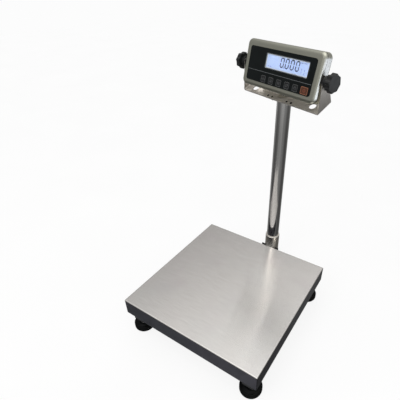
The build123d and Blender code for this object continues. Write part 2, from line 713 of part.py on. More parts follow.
def make_case_screws():
    screws = []
    for x, z in case_screw_places():
        shank = rod(CASE_SCREW_R, (CASE_SCREW_END_Y + LAP, REAR_FACE_Y + LAP), x, z)
        head = rod(CASE_SCREW_HEAD_R, (REAR_FACE_Y, REAR_FACE_Y + CASE_SCREW_HEAD), x, z)
        screws.append(shank + fillet(head.edges().sort_by(Axis.Y)[-1], CASE_SCREW_ROUND))
    return group(screws)


def key_places():
    """Each key's name, place across the panel and size."""
    places = [(name, KEY_FIRST_X + i * KEY_PITCH, KEY_SIZE) for i, name in enumerate(KEY_NAMES)]
    return [*places, ("power", POWER_KEY_X, POWER_KEY_SIZE)]


def make_overlay():
    y = (FACE_Y - OVERLAY, FACE_Y)
    overlay = panel(OVERLAY_X, OVERLAY_Z, OVERLAY_CORNER, y, z=OVERLAY_CENTRE_Z)
    overlay -= panel(DISPLAY_X, DISPLAY_Z, DISPLAY_CORNER, y, *DISPLAY_CENTRE)
    for _, x, size in key_places():
        overlay -= panel(size[0] + 2 * KEY_GAP, size[1] + 2 * KEY_GAP, KEY_CORNER + KEY_GAP, y, x, KEY_Z)
    return overlay


def make_display_window():
    y = (FACE_Y - OVERLAY + WINDOW_SINK, FACE_Y)
    width = DISPLAY_X - 2 * WINDOW_GAP
    height = DISPLAY_Z - 2 * WINDOW_GAP
    return panel(width, height, DISPLAY_CORNER, y, *DISPLAY_CENTRE)


def make_lcd_module():
    front = FACE_Y + CASE_SHEET
    width = DISPLAY_X + 2 * LCD_MARGIN
    height = DISPLAY_Z + 2 * LCD_MARGIN
    return panel(width, height, DISPLAY_CORNER, (front, front + LCD_DEPTH), *DISPLAY_CENTRE)


def make_key(x, size):
    front = FACE_Y - OVERLAY - KEY_PROUD
    key = panel(size[0], size[1], KEY_CORNER, (front, front + KEY_THICK), x, KEY_Z)
    return fillet(key.faces().sort_by(Axis.Y)[0].edges(), KEY_ROUND)


def make_main_board():
    """The board with a processor, a converter, three capacitors and a connector on its back."""
    width, thick, height = BOARD_SIZE
    back = BOARD_Y + thick
    levels = (CASE_CENTRE_Z - height / 2, CASE_CENTRE_Z + height / 2)
    parts = [block((-width / 2, width / 2), (BOARD_Y, back), levels)]
    parts += [block(x, (back, back + tall), z) for x, tall, z in BOARD_CHIPS]
    for i in range(CAPACITORS):
        x = CAPACITOR_X + i * CAPACITOR_PITCH
        parts.append(rod(CAPACITOR_R, (back, back + CAPACITOR_TALL), x, CAPACITOR_Z))
    return group(parts)


def make_battery():
    width, depth, height = BATTERY_SIZE
    x = (BATTERY_X - width / 2, BATTERY_X + width / 2)
    levels = (CASE_CENTRE_Z - height / 2, CASE_CENTRE_Z + height / 2)
    battery = block(x, (BATTERY_Y, BATTERY_Y + depth), levels)
    return fillet(battery.edges().filter_by(Axis.X), BATTERY_ROUND)


def make_battery_strap():
    """A band round the battery's back, fixed to the inside of the hump above and below it."""
    height = BATTERY_SIZE[2]
    x = (BATTERY_X - STRAP_WIDTH / 2, BATTERY_X + STRAP_WIDTH / 2)
    inner = height / 2 + LOOSE_FIT
    back = BATTERY_Y + BATTERY_SIZE[1] + LOOSE_FIT
    band_z = (CASE_CENTRE_Z - inner - STRAP, CASE_CENTRE_Z + inner + STRAP)
    band = block(x, (BATTERY_Y, back + STRAP), band_z)
    return band - block(x, (BATTERY_Y, back), (CASE_CENTRE_Z - inner, CASE_CENTRE_Z + inner))


def make_pivot_bosses():
    bosses = []
    for side in (-1, 1):
        outer = side * (CASE_X / 2 - CASE_SHEET)
        limits = (outer - side * BOSS_LENGTH, outer)
        bosses.append(axle(BOSS_R, limits) - axle(PIVOT_BORE_R, limits))
    return group(bosses)


def make_pivot_washers():
    washers = []
    for side in (-1, 1):
        limits = (side * CASE_X / 2, side * WASHER_END_X)
        washers.append(axle(WASHER_R, limits) - axle(PIVOT_BORE_R, limits))
    return group(washers)


def make_cable_glands():
    glands = []
    for x in GLAND_X:
        hexagon_base = Pos(x, HUMP_END_Y, GLAND_Z) * Rot(-90, 0, 0) * hexagon(GLAND_FLATS, GLAND_HEX)
        dome_y = HUMP_END_Y + GLAND_HEX + GLAND_DOME / 2
        dome = Pos(x, dome_y, GLAND_Z) * Rot(-90, 0, 0) * Cone(GLAND_DOME_R, GLAND_DOME_R_END, GLAND_DOME)
        thread = rod(GLAND_THREAD_R, (HUMP_END_Y - GLAND_THREAD, HUMP_END_Y + LAP), x, GLAND_Z)
        bore_y = (HUMP_END_Y - GLAND_THREAD, HUMP_END_Y + GLAND_HEX + GLAND_DOME)
        glands.append(hexagon_base + dome + thread - rod(GLAND_BORE_R, bore_y, x, GLAND_Z))
    return group(glands)


def make_gland_nuts():
    nuts = []
    inside = HUMP_END_Y - CASE_SHEET
    for x in GLAND_X:
        nut = Pos(x, inside, GLAND_Z) * Rot(90, 0, 0) * hexagon(GLAND_NUT_FLATS, GLAND_NUT)
        nuts.append(nut - rod(GLAND_THREAD_R + LOOSE_FIT, (inside - GLAND_NUT, inside), x, GLAND_Z))
    return group(nuts)


def make_knob(side):
    """A lobed grip on a hub: the lobes are the corners of a polygon, rounded."""
    outline = RegularPolygon(KNOB_R, KNOB_LOBES)
    outline = fillet(outline.vertices(), KNOB_ROUND)
    grip = Pos(KNOB_HUB_END_X, 0, 0) * Rot(0, 90, 0) * extrude(outline, KNOB_END_X - KNOB_HUB_END_X)
    grip = chamfer(grip.faces().sort_by(Axis.X)[-1].edges(), KNOB_ROUND)
    for i in range(KNOB_LOBES):
        angle = 2 * math.pi * (i + 0.5) / KNOB_LOBES
        distance = KNOB_R * math.cos(math.pi / KNOB_LOBES) + KNOB_LOBE_R - KNOB_ROUND
        y = distance * math.cos(angle)
        z = distance * math.sin(angle)
        grip -= axle(KNOB_LOBE_R, (KNOB_HUB_END_X - LAP, KNOB_END_X + LAP), y, z)
    hub = axle(KNOB_HUB_R, (KNOB_START_X, KNOB_HUB_END_X + LAP))
    knob = grip + hub - axle(KNOB_STUD_R + LOOSE_FIT, (KNOB_START_X, KNOB_STUD_OUTER_X))
    return knob if side > 0 else Rot(0, 0, 180) * knob


def make_knob_stud(side):
    return axle(KNOB_STUD_R, (side * KNOB_STUD_INNER_X, side * KNOB_STUD_OUTER_X))


# Assembly ----------------------------------------------------------------------------------------

def base_nodes():
    corners = [(x * FOOT_XY, y * FOOT_XY, name) for x, y, name in CORNERS]
    nodes = {
        "pan": make_pan(),
        "base_front_tube": make_end_tube(-1),
        "base_rear_tube": make_end_tube(1),
        "base_crossbeam": make_crossbeam(),
        "rail_end_plugs": make_rail_end_plugs(),
        "foot_bushes": group([make_foot_bush(x, y) for x, y, _ in corners]),
        "foot_lock_nuts": group([make_lock_nut(x, y) for x, y, _ in corners]),
        "load_cell": make_load_cell(),
        "load_cell_spacers": make_load_cell_spacers(),
        "load_cell_bolts": make_load_cell_bolts(),
        "spider_plate": make_spider_plate(),
        "pan_bumpers": make_pan_bumpers(),
        "overload_stops": make_overload_stops(),
        "overload_lock_nuts": make_overload_lock_nuts(),
        "level_body": make_level_body(),
        "level_window": make_level_window(),
        "column_bracket": make_column_bracket(),
        "bracket_bolts": make_bracket_bolts(),
        "column_socket": make_column_socket(),
        "clamp_screws": make_clamp_screws(),
    }
    for side, name in SIDES:
        nodes[f"base_rail_{name}"] = make_rail(side)
        nodes[f"spider_beam_{name}"] = make_spider_beam(side)
    for x, y, name in corners:
        nodes[f"foot_pad_{name}"] = make_foot_pad(x, y)
        nodes[f"foot_stud_{name}"] = make_foot_stud(x, y)
    return nodes


def yoke_nodes():
    return {"column_top_plate": make_top_plate(), "yoke": make_yoke(), "yoke_screws": make_yoke_screws()}


def indicator_nodes():
    nodes = {
        "front_shell": make_front_shell(),
        "rear_shell": make_rear_shell(),
        "case_gasket": make_case_gasket(),
        "case_screws": make_case_screws(),
        "overlay": make_overlay(),
        "display_window": make_display_window(),
        "lcd_module": make_lcd_module(),
        "main_board": make_main_board(),
        "battery": make_battery(),
        "battery_strap": make_battery_strap(),
        "pivot_bosses": make_pivot_bosses(),
        "pivot_washers": make_pivot_washers(),
        "cable_glands": make_cable_glands(),
        "gland_nuts": make_gland_nuts(),
    }
    for name, x, size in key_places():
        nodes[f"key_{name}"] = make_key(x, size)
    for side, name in SIDES:
        nodes[f"knob_{name}"] = make_knob(side)
        nodes[f"knob_stud_{name}"] = make_knob_stud(side)
    return nodes


def build():
    nodes = {"column_tube": make_column_tube()}
    groups = ((PAN_FRAME, base_nodes()), (YOKE_FRAME, yoke_nodes()), (CASE_FRAME, indicator_nodes()))
    for frame, made in groups:
        for name, shape in made.items():
            nodes[name] = frame * shape
    return nodes


def main():
    os.makedirs("parts", exist_ok=True)
    nodes = build()
    for name, shape in nodes.items():
        export_step(shape, f"parts/{name}.step")
    box = Compound(children=list(nodes.values())).bounding_box()
    print("nodes", len(nodes), "box", box.min, box.max)


if __name__ == "__main__":
    main()
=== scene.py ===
"""Looks of the animal weighing scale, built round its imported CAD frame. Lengths are in metres."""

import json
import math

import bmesh
import bpy
from mathutils import Matrix, Vector


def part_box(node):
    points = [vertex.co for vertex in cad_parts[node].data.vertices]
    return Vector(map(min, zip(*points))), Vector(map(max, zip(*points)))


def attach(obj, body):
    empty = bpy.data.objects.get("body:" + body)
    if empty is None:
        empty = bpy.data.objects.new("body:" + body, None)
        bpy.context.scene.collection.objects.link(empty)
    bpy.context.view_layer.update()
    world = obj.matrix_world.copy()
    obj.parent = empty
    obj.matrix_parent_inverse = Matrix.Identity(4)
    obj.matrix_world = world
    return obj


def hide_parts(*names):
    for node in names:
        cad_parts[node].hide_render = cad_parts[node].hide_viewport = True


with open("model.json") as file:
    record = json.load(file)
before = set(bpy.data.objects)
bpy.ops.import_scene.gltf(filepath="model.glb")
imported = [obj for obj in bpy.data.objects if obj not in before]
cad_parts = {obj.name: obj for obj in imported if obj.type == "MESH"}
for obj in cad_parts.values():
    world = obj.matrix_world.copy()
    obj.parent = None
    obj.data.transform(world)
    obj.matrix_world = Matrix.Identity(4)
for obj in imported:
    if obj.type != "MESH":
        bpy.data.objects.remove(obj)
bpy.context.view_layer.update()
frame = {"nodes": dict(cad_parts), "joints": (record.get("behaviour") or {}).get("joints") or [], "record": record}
NODES = frame["nodes"]
JOINTS = {joint["name"]: joint for joint in frame["joints"]}
SLOT_OF = {part["node"]: part["material_slot"] for part in frame["record"]["subparts"]}
BODY_OF = {
    node: body for body, members in frame["record"]["behaviour"]["bodies"].items() for node in members
}
MM = 0.001

# ---------------------------------------------------------------- frames


def frame_from(x_axis, y_axis, origin):
    """The matrix from a local frame in millimetres to the row frame in metres."""
    x_axis = Vector(x_axis).normalized()
    y_axis = Vector(y_axis).normalized()
    z_axis = x_axis.cross(y_axis)
    turn = Matrix((x_axis, y_axis, z_axis)).transposed().to_4x4()
    return Matrix.Translation(Vector(origin)) @ turn @ Matrix.Scale(MM, 4)


YOKE_PITCH = math.radians(27.8)
TILT_AXIS = Vector(JOINTS["indicator_tilt"]["axis"])
PIVOT = Vector(JOINTS["indicator_tilt"]["pos_m"])
INWARD = Vector(JOINTS["press_zero"]["axis"])
# The case frame: X along the pivot axis, Y into the case, Z up its face.
CASE = frame_from(TILT_AXIS, INWARD, PIVOT)
# The yoke frame: the same origin and X, leaning back with the yoke's plate.
LEVEL_INWARD = Vector((-TILT_AXIS.y, TILT_AXIS.x, 0)).normalized()
YOKE = frame_from(
    TILT_AXIS, LEVEL_INWARD * math.cos(YOKE_PITCH) + Vector((0, 0, math.sin(YOKE_PITCH))), PIVOT
)
COLUMN_FOOT = Vector(JOINTS["column_swivel"]["pos_m"])
ROW = Matrix.Scale(MM, 4)
HEAD_YAW = math.atan2(TILT_AXIS.y, TILT_AXIS.x)


def centre_of(node):
    low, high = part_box(node)
    return (low + high) / 2


def in_case(point):
    """A row-frame point in the case frame, in millimetres."""
    return CASE.inverted() @ Vector(point)


# ---------------------------------------------------------------- materials


class Look:
    """A material: one Principled shader and the patterns that feed it."""

    def __init__(self, name, turn=0.0, **sockets):
        self.material = bpy.data.materials.new(name)
        self.material.use_nodes = True
        self.tree = self.material.node_tree
        self.shader = self.tree.nodes["Principled BSDF"]
        self.place = self.node("ShaderNodeTexCoord").outputs["Object"]
        if turn:
            mapping = self.node("ShaderNodeMapping")
            mapping.inputs["Rotation"].default_value = (0, 0, turn)
            self.link(self.place, mapping.inputs["Vector"])
            self.place = mapping.outputs["Vector"]
        for socket, value in sockets.items():
            self.shader.inputs[socket.replace("_", " ")].default_value = value

    def node(self, kind, **settings):
        made = self.tree.nodes.new(kind)
        for key, value in settings.items():
            setattr(made, key, value)
        return made

    def link(self, source, target):
        self.tree.links.new(source, target)

    def feed(self, socket, value):
        """Links a pattern to a socket, or sets a constant on it."""
        if isinstance(value, bpy.types.NodeSocket):
            self.link(value, socket)
        else:
            socket.default_value = value

    def noise(self, scale, detail=3.0, stretch=(1, 1, 1), roughness=0.55, distortion=0.0):
        mapping = self.node("ShaderNodeMapping")
        mapping.inputs["Scale"].default_value = stretch
        self.link(self.place, mapping.inputs["Vector"])
        made = self.node("ShaderNodeTexNoise")
        made.inputs["Scale"].default_value = scale
        made.inputs["Detail"].default_value = detail
        made.inputs["Roughness"].default_value = roughness
        made.inputs["Distortion"].default_value = distortion
        self.link(mapping.outputs["Vector"], made.inputs["Vector"])
        return made.outputs["Fac"]

    def cells(self, scale, feature="F1"):
        made = self.node("ShaderNodeTexVoronoi", feature=feature)
        made.inputs["Scale"].default_value = scale
        self.link(self.place, made.inputs["Vector"])
        return made.outputs["Distance"]

    def spread(self, value, low, high, start=0.3, end=0.7, smooth=False):
        """Maps a pattern from start..end onto low..high."""
        kind = "SMOOTHSTEP" if smooth else "LINEAR"
        made = self.node("ShaderNodeMapRange", interpolation_type=kind)
        self.link(value, made.inputs["Value"])
        ends = {"From Min": start, "From Max": end, "To Min": low, "To Max": high}
        for socket, number in ends.items():
            made.inputs[socket].default_value = number
        return made.outputs["Result"]

    def axis(self, name):
        split = self.node("ShaderNodeSeparateXYZ")
        self.link(self.place, split.inputs["Vector"])
        return split.outputs[name]

    def sums(self, operation, first, second):
        made = self.node("ShaderNodeMath", operation=operation)
        self.feed(made.inputs[0], first)
        self.feed(made.inputs[1], second)
        return made.outputs[0]

    def blend(self, factor, first, second, mode="MIX"):
        made = self.node("ShaderNodeMix", data_type="RGBA", blend_type=mode)
        self.feed(made.inputs["Factor"], factor)
        self.feed(made.inputs["A"], as_colour(first))
        self.feed(made.inputs["B"], as_colour(second))
        return made.outputs["Result"]

    def colour(self, value):
        self.feed(self.shader.inputs["Base Color"], as_colour(value))

    def roughness(self, value):
        self.feed(self.shader.inputs["Roughness"], value)

    def bump(self, height, strength, distance):
        made = self.node("ShaderNodeBump")
        made.inputs["Strength"].default_value = strength
        made.inputs["Distance"].default_value = distance
        self.link(height, made.inputs["Height"])
        self.link(made.outputs["Normal"], self.shader.inputs["Normal"])

    def gloss_across(self, direction):
        """The direction across the brushing, in which its gloss stretches."""
        made = self.node("ShaderNodeCombineXYZ")
        for socket, value in zip(made.inputs, direction):
            socket.default_value = value
        self.link(made.outputs["Vector"], self.shader.inputs["Tangent"])


def as_colour(value):
    if isinstance(value, bpy.types.NodeSocket) or len(value) == 4:
        return value
    return (*value, 1.0)


def shade(colour, factor):
    return tuple(min(1.0, channel * factor) for channel in colour)


ALONG_X = (0.02, 1.0, 1.0)
ALONG_Z = (1.0, 1.0, 0.02)


def brushed_metal(name, colour, rough, stretch=ALONG_X, turn=0.0, contrast=0.12, anisotropy=0.5):
    """Steel with fine lines one way, broad cloudy tone, and faint handling marks."""
    look = Look(name, turn, Metallic=1.0, Anisotropic=anisotropy)
    lines = look.noise(900, 4, stretch)
    clouds = look.noise(7, 3)
    marks = look.noise(42, 4, distortion=0.6)
    dark, pale = shade(colour, 1 - contrast), shade(colour, 1 + contrast)
    tone = look.blend(look.spread(lines, 0, 1), dark, pale)
    warm = (colour[0] * 1.03, colour[1] * 0.975, colour[2] * 0.95)
    tone = look.blend(look.spread(clouds, 0, 0.6), tone, look.blend(0.5, tone, warm))
    look.colour(tone)
    base = look.spread(marks, rough - 0.03, rough + 0.07)
    look.roughness(look.sums("ADD", base, look.spread(lines, -0.03, 0.03)))
    look.bump(lines, 0.1, 0.00002)
    look.gloss_across((math.sin(turn), math.cos(turn), 1))
    return look


def pan_steel():
    """Satin top with the lines across the pan, and a coarser side below the fold, darkened as a painted
    reflection.
    """
    look = Look("pan_steel", Metallic=1.0, Anisotropic=1.0)
    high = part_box("pan")[1]
    lines = look.noise(1100, 4, ALONG_X)
    clouds = look.noise(5, 2)
    blotches = look.noise(11, 3, distortion=0.4)
    top = look.blend(look.spread(lines, 0, 1), (0.64, 0.612, 0.585), (0.735, 0.708, 0.682))
    top = look.blend(look.spread(blotches, 0, 0.5, 0.5, 0.72), top, (0.655, 0.605, 0.60))
    top = look.blend(look.spread(clouds, 0, 0.35, 0.45, 0.7), top, (0.62, 0.63, 0.605))
    # Painted reflection: the dark slate colour below the fold stands in for the dark surroundings that the folded
    # steel reflects, not the steel's own colour.
    skirt_painted_reflection = look.blend(look.spread(lines, 0, 1), (0.095, 0.10, 0.114), (0.13, 0.136, 0.151))
    skirt_painted_reflection = look.blend(look.spread(clouds, 0, 0.7), skirt_painted_reflection, (0.12, 0.113, 0.134))
    fold_low, fold_high = high.z - 0.0035, high.z - 0.0012
    fold = look.spread(look.axis("Z"), 0, 1, fold_low, fold_high, smooth=True)
    look.colour(look.blend(fold, skirt_painted_reflection, top))
    smudges = look.noise(30, 4, distortion=0.8)
    satin = look.spread(smudges, 0.18, 0.21)
    coarse = look.spread(smudges, 0.38, 0.5)
    mixed = look.node("ShaderNodeMix", data_type="FLOAT")
    look.feed(mixed.inputs["Factor"], fold)
    look.feed(mixed.inputs["A"], coarse)
    look.feed(mixed.inputs["B"], satin)
    look.roughness(mixed.outputs["Result"])
    look.gloss_across((0, 1, 1))
    return look


def polished_steel():
    """Tube steel: bright, with faint lengthwise draw lines and a few dull wipes."""
    look = Look("polished_steel", Metallic=1.0)
    lines = look.noise(260, 3, ALONG_Z)
    wipes = look.noise(18, 3, (1, 1, 0.4), distortion=0.5)
    look.colour(look.blend(look.spread(lines, 0, 1), (0.66, 0.655, 0.64), (0.80, 0.79, 0.775)))
    look.roughness(look.sums("ADD", look.spread(wipes, 0.07, 0.15), look.spread(lines, 0, 0.03)))
    look.bump(lines, 0.12, 0.00003)
    return look


def moulded(name, colour, rough, grain=1400, relief=0.00008, lift=1.6, specular=0.5):
    """Moulded plastic or rubber: fine grain, slightly uneven gloss, paler where it's rubbed."""
    look = Look(name, Roughness=rough, Specular_IOR_Level=specular)
    fine = look.noise(grain, 3)
    rubbed = look.noise(55, 4, distortion=0.5)
    tone = look.blend(look.spread(fine, 0, 1), shade(colour, 0.85), shade(colour, 1.2))
    look.colour(look.blend(look.spread(rubbed, 0, 0.55, 0.5, 0.75), tone, shade(colour, lift)))
    look.roughness(look.spread(rubbed, rough - 0.06, rough + 0.08))
    look.bump(fine, 0.4, relief)
    return look


def membrane():
    """The overlay: smooth printed film with a very fine texture and a few dull finger marks."""
    look = Look("membrane", Specular_IOR_Level=0.16)
    fine = look.noise(2600, 2)
    marks = look.noise(26, 4, distortion=1.0)
    dark, pale = (0.0022, 0.0036, 0.0036), (0.0045, 0.0062, 0.0063)
    look.colour(look.blend(look.spread(marks, 0, 0.6), dark, pale))
    look.roughness(look.spread(marks, 0.28, 0.42))
    look.bump(fine, 0.12, 0.00002)
    return look


def backlight():
    """The display's glowing diffuser, unevenly bright in soft random patches, with a fine texture."""
    look = Look("lcd", Roughness=0.35)
    soft = look.noise(38, 2)
    grid = look.noise(1900, 1)
    tone = look.blend(look.spread(soft, 0, 1), (0.44, 0.58, 0.90), (0.52, 0.65, 0.95))
    tone = look.blend(look.spread(grid, 0, 0.25), tone, (0.40, 0.52, 0.86))
    look.colour(look.blend(0.5, tone, (0.3, 0.36, 0.5)))
    look.feed(look.shader.inputs["Emission Color"], tone)
    look.shader.inputs["Emission Strength"].default_value = 0.54
    look.bump(grid, 0.1, 0.00001)
    return look


def clear_window(name, colour, rough=0.03):
    """Clear plastic or liquid with a little dust on it."""
    look = Look(name, Transmission_Weight=1.0, IOR=1.3)
    dust = look.noise(60, 4, distortion=0.6)
    look.colour(look.blend(look.spread(dust, 0, 0.5), colour, shade(colour, 0.97)))
    look.roughness(look.spread(dust, rough, rough + 0.03))
    return look


def circuit_board():
    """Green board with copper tracks along the edges of random cells."""
    look = Look("board", Specular_IOR_Level=0.5)
    tracks = look.cells(240, "DISTANCE_TO_EDGE")
    mask = look.noise(90, 3)
    copper = look.spread(tracks, 1, 0, 0.02, 0.05)
    green = look.blend(look.spread(mask, 0, 1), (0.010, 0.075, 0.030), (0.018, 0.11, 0.045))
    look.colour(look.blend(copper, green, (0.03, 0.20, 0.09)))
    look.roughness(look.spread(mask, 0.3, 0.45))
    look.bump(copper, 0.3, 0.00003)
    return look


def rubber(name, colour, rough):
    """Dull coarse rubber."""
    return moulded(name, colour, rough, grain=700, relief=0.00006, lift=1.5, specular=0.06)


def key_plastic(name, colour, lift):
    """A key's matt, finely grained face."""
    return moulded(name, colour, 0.42, grain=2200, relief=0.00003, lift=lift, specular=0.3)


def ink(name, colour, rough=0.45, lift=1.2, grain=2600):
    """A thin printed or displayed mark."""
    return moulded(name, colour, rough, grain, 0.00001, lift)


SATIN_STEEL = (0.72, 0.69, 0.65)
CASE_STEEL = (0.47, 0.475, 0.40)
SOCKET_STEEL = (0.86, 0.80, 0.73)
FRAME_STEEL = (0.36, 0.37, 0.38)
FASTENER_STEEL = (0.6, 0.6, 0.59)
ALUMINIUM = (0.76, 0.77, 0.79)
EVEN = {"anisotropy": 0.0}

LOOKS = {
    "pan_steel": pan_steel(),
    "satin_steel": brushed_metal("satin_steel", SATIN_STEEL, 0.40, turn=-HEAD_YAW, contrast=0.2),
    "case_steel": brushed_metal("case_steel", CASE_STEEL, 0.34, turn=-HEAD_YAW, contrast=0.07),
    "polished_steel": polished_steel(),
    "socket_steel": brushed_metal("socket_steel", SOCKET_STEEL, 0.27, ALONG_Z, contrast=0.25, **EVEN),
    "frame_steel": brushed_metal("frame_steel", FRAME_STEEL, 0.38, contrast=0.15),
    "fastener_steel": brushed_metal(
        "fastener_steel", FASTENER_STEEL, 0.24, ALONG_Z, contrast=0.1, **EVEN
    ),
    "cell_aluminium": brushed_metal("cell_aluminium", ALUMINIUM, 0.32, contrast=0.06),
    "membrane": membrane(),
    "dark_key": key_plastic("dark_key", (0.009, 0.0095, 0.010), 1.3),
    "power_key": key_plastic("power_key", (0.065, 0.024, 0.012), 1.25),
    "clear_window": clear_window("clear_window", (0.97, 0.98, 1.0)),
    "lcd": backlight(),
    "board": circuit_board(),
    "battery_case": moulded("battery_case", (0.035, 0.036, 0.04), 0.5),
    "black_plastic": moulded("black_plastic", (0.018, 0.018, 0.019), 0.45),
    "knob_plastic": moulded("knob_plastic", (0.006, 0.0065, 0.007), 0.36, 1000, 0.0001),
    "black_rubber": rubber("black_rubber", (0.014, 0.014, 0.014), 0.6),
    "foot_rubber": rubber("foot_rubber", (0.0035, 0.0037, 0.0038), 0.33),
}
LCD_INK = ink("lcd_ink", (0.075, 0.10, 0.20), 0.5, lift=1.6)
LCD_FAINT = ink("lcd_faint", (0.24, 0.30, 0.48), 0.5, lift=1.6)
LCD_RIM = ink("lcd_rim", (0.72, 0.78, 0.90), 0.5, lift=1.1, grain=2000)
PRINT_GREY = ink("print_grey", (0.13, 0.14, 0.145))
KEY_LINE = ink("key_line", (0.055, 0.058, 0.06))
POWER_LINE = ink("power_line", (0.27, 0.105, 0.055))
POWER_MARK = ink("power_mark", (0.22, 0.055, 0.03))
ALL_WAYS = (1, 1, 1)
WELD = brushed_metal("weld_bead", (0.50, 0.47, 0.43), 0.3, ALL_WAYS, contrast=0.25, **EVEN)
RIM_STEEL = brushed_metal("rim_steel", (0.82, 0.81, 0.79), 0.2, ALL_WAYS, contrast=0.06, **EVEN)
LIQUID = clear_window("level_liquid", (0.62, 0.80, 0.22))

for node_name, cad in NODES.items():
    look = LOOKS[SLOT_OF[node_name]]
    cad.data.materials.clear()
    cad.data.materials.append(look.material)

# ---------------------------------------------------------------- mesh pieces


def piece(name, bm, body, look, smooth=True, sharp=35):
    """Turns a bmesh in the row frame into a piece that rides on a body."""
    bmesh.ops.recalc_face_normals(bm, faces=bm.faces)
    mesh = bpy.data.meshes.new(name)
    if smooth:
        limit = math.radians(sharp)
        for face in bm.faces:
            face.smooth = True
        for edge in bm.edges:
            if len(edge.link_faces) == 2 and edge.calc_face_angle(0) > limit:
                edge.smooth = False
    bm.to_mesh(mesh)
    bm.free()
    mesh.materials.append(look.material)
    made = bpy.data.objects.new(name, mesh)
    bpy.context.scene.collection.objects.link(made)
    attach(made, body)
    return made


def slab(bm, outline, near, far, matrix):
    """A flat plate: an outline of (x, z) points between two y planes of a local frame."""
    front = [bm.verts.new(matrix @ Vector((x, near, z))) for x, z in outline]
    back = [bm.verts.new(matrix @ Vector((x, far, z))) for x, z in outline]
    bm.faces.new(front)
    bm.faces.new(back[::-1])
    for i in range(len(outline)):
        j = (i + 1) % len(outline)
        bm.faces.new((front[j], front[i], back[i], back[j]))


def ribbon(bm, outer, inner, near, far, matrix):
    """A flat ring between two outlines with as many points each."""
    rows = []
    for outline in (outer, inner):
        for y in (near, far):
            rows.append([bm.verts.new(matrix @ Vector((x, y, z))) for x, z in outline])
    outer_near, outer_far, inner_near, inner_far = rows
    for i in range(len(outer)):
        j = (i + 1) % len(outer)
        for a, b in (
            (outer_near, inner_near),
            (inner_near, inner_far),
            (inner_far, outer_far),
            (outer_far, outer_near),
        ):
            bm.faces.new((a[i], a[j], b[j], b[i]))


def round_box(width, height, radius, x=0.0, z=0.0, steps=6):
    """The outline of a rectangle with round corners."""
    points = []
    for quarter, (sx, sz) in enumerate(((1, 1), (-1, 1), (-1, -1), (1, -1))):
        cx = x + sx * (width / 2 - radius)
        cz = z + sz * (height / 2 - radius)
        for step in range(steps + 1):
            angle = math.pi / 2 * (quarter + step / steps)
            points.append((cx + radius * math.cos(angle), cz + radius * math.sin(angle)))
    return points


def circle(radius, x=0.0, z=0.0, steps=32):
    turns = [2 * math.pi * step / steps for step in range(steps)]
    return [(x + radius * math.cos(turn), z + radius * math.sin(turn)) for turn in turns]


def lathe(bm, profile, matrix, steps=64):
    """Turns (radius, height) points about the local Z axis; an end at radius 0 is closed."""
    rings = []
    for radius, height in profile:
        if radius == 0:
            rings.append([bm.verts.new(matrix @ Vector((0, 0, height)))])
            continue
        ring = []
        for step in range(steps):
            angle = 2 * math.pi * step / steps
            place = Vector((radius * math.cos(angle), radius * math.sin(angle), height))
            ring.append(bm.verts.new(matrix @ place))
        rings.append(ring)
    for low, high in zip(rings, rings[1:]):
        for i in range(steps):
            j = (i + 1) % steps
            corners = [low[i % len(low)], low[j % len(low)], high[j % len(high)], high[i % len(high)]]
            unique = list(dict.fromkeys(corners))
            if len(unique) > 2:
                bm.faces.new(unique)


def arc_profile(centre, radius, start, end, steps=6):
    """Points of a round edge in a lathe profile; angles in degrees from the radius axis."""
    points = []
    for step in range(steps + 1):
        angle = math.radians(start + (end - start) * step / steps)
        points.append((centre[0] + radius * math.cos(angle), centre[1] + radius * math.sin(angle)))
    return points


def helical_thread(bm, matrix, radius, pitch, length, steps=28, rows=8):
    """A V thread along the local Z axis, from 0 to length, in the matrix's unit."""
    depth = pitch * 0.54
    count = int(length / pitch * rows)
    rings = []
    for row in range(count + 1):
        z = length * row / count
        ring = []
        for step in range(steps):
            phase = (z / pitch - step / steps) % 1.0
            fade = min(1.0, z / pitch, (length - z) / pitch)
            crest = radius - depth * (1 - abs(2 * phase - 1)) * fade - depth * (1 - fade)
            angle = 2 * math.pi * step / steps
            place = Vector((crest * math.cos(angle), crest * math.sin(angle), z))
            ring.append(bm.verts.new(matrix @ place))
        rings.append(ring)
    for low, high in zip(rings, rings[1:]):
        for i in range(steps):
            j = (i + 1) % steps
            bm.faces.new((low[i], low[j], high[j], high[i]))
    bm.faces.new(rings[0][::-1])
    bm.faces.new(rings[-1])


def weld_bead(bm, points, radius, closed=False, ripple=0.18, sides=10):
    """A rippled bead of weld metal along a line of row-frame points."""
    count = len(points)
    rings = []
    for i, point in enumerate(points):
        after = points[(i + 1) % count] if closed or i + 1 < count else point
        before = points[i - 1] if closed or i else point
        along = (after - before).normalized()
        side = along.orthogonal().normalized()
        if abs(along.z) < 0.9:
            side = along.cross(Vector((0, 0, 1))).normalized()
        up = along.cross(side)
        swell = radius * (1 + ripple * math.sin(i * 1.7) * math.cos(i * 0.61))
        if not closed and i in (0, count - 1):
            swell *= 0.35
        ring = []
        for k in range(sides):
            turn = 2 * math.pi * k / sides
            ring.append(bm.verts.new(point + (side * math.cos(turn) + up * math.sin(turn)) * swell))
        rings.append(ring)
    pairs = list(zip(rings, rings[1:]))
    if closed:
        pairs.append((rings[-1], rings[0]))
    for low, high in pairs:
        for k in range(sides):
            m = (k + 1) % sides
            bm.faces.new((low[k], low[m], high[m], high[k]))
    if not closed:
        bm.faces.new(rings[0][::-1])
        bm.faces.new(rings[-1])


def line_points(start, end, step):
    """Evenly spaced points from start to end, about a step apart."""
    start, end = Vector(start), Vector(end)
    count = max(2, int((end - start).length / step))
    return [start.lerp(end, i / count) for i in range(count + 1)]


# ---------------------------------------------------------------- display

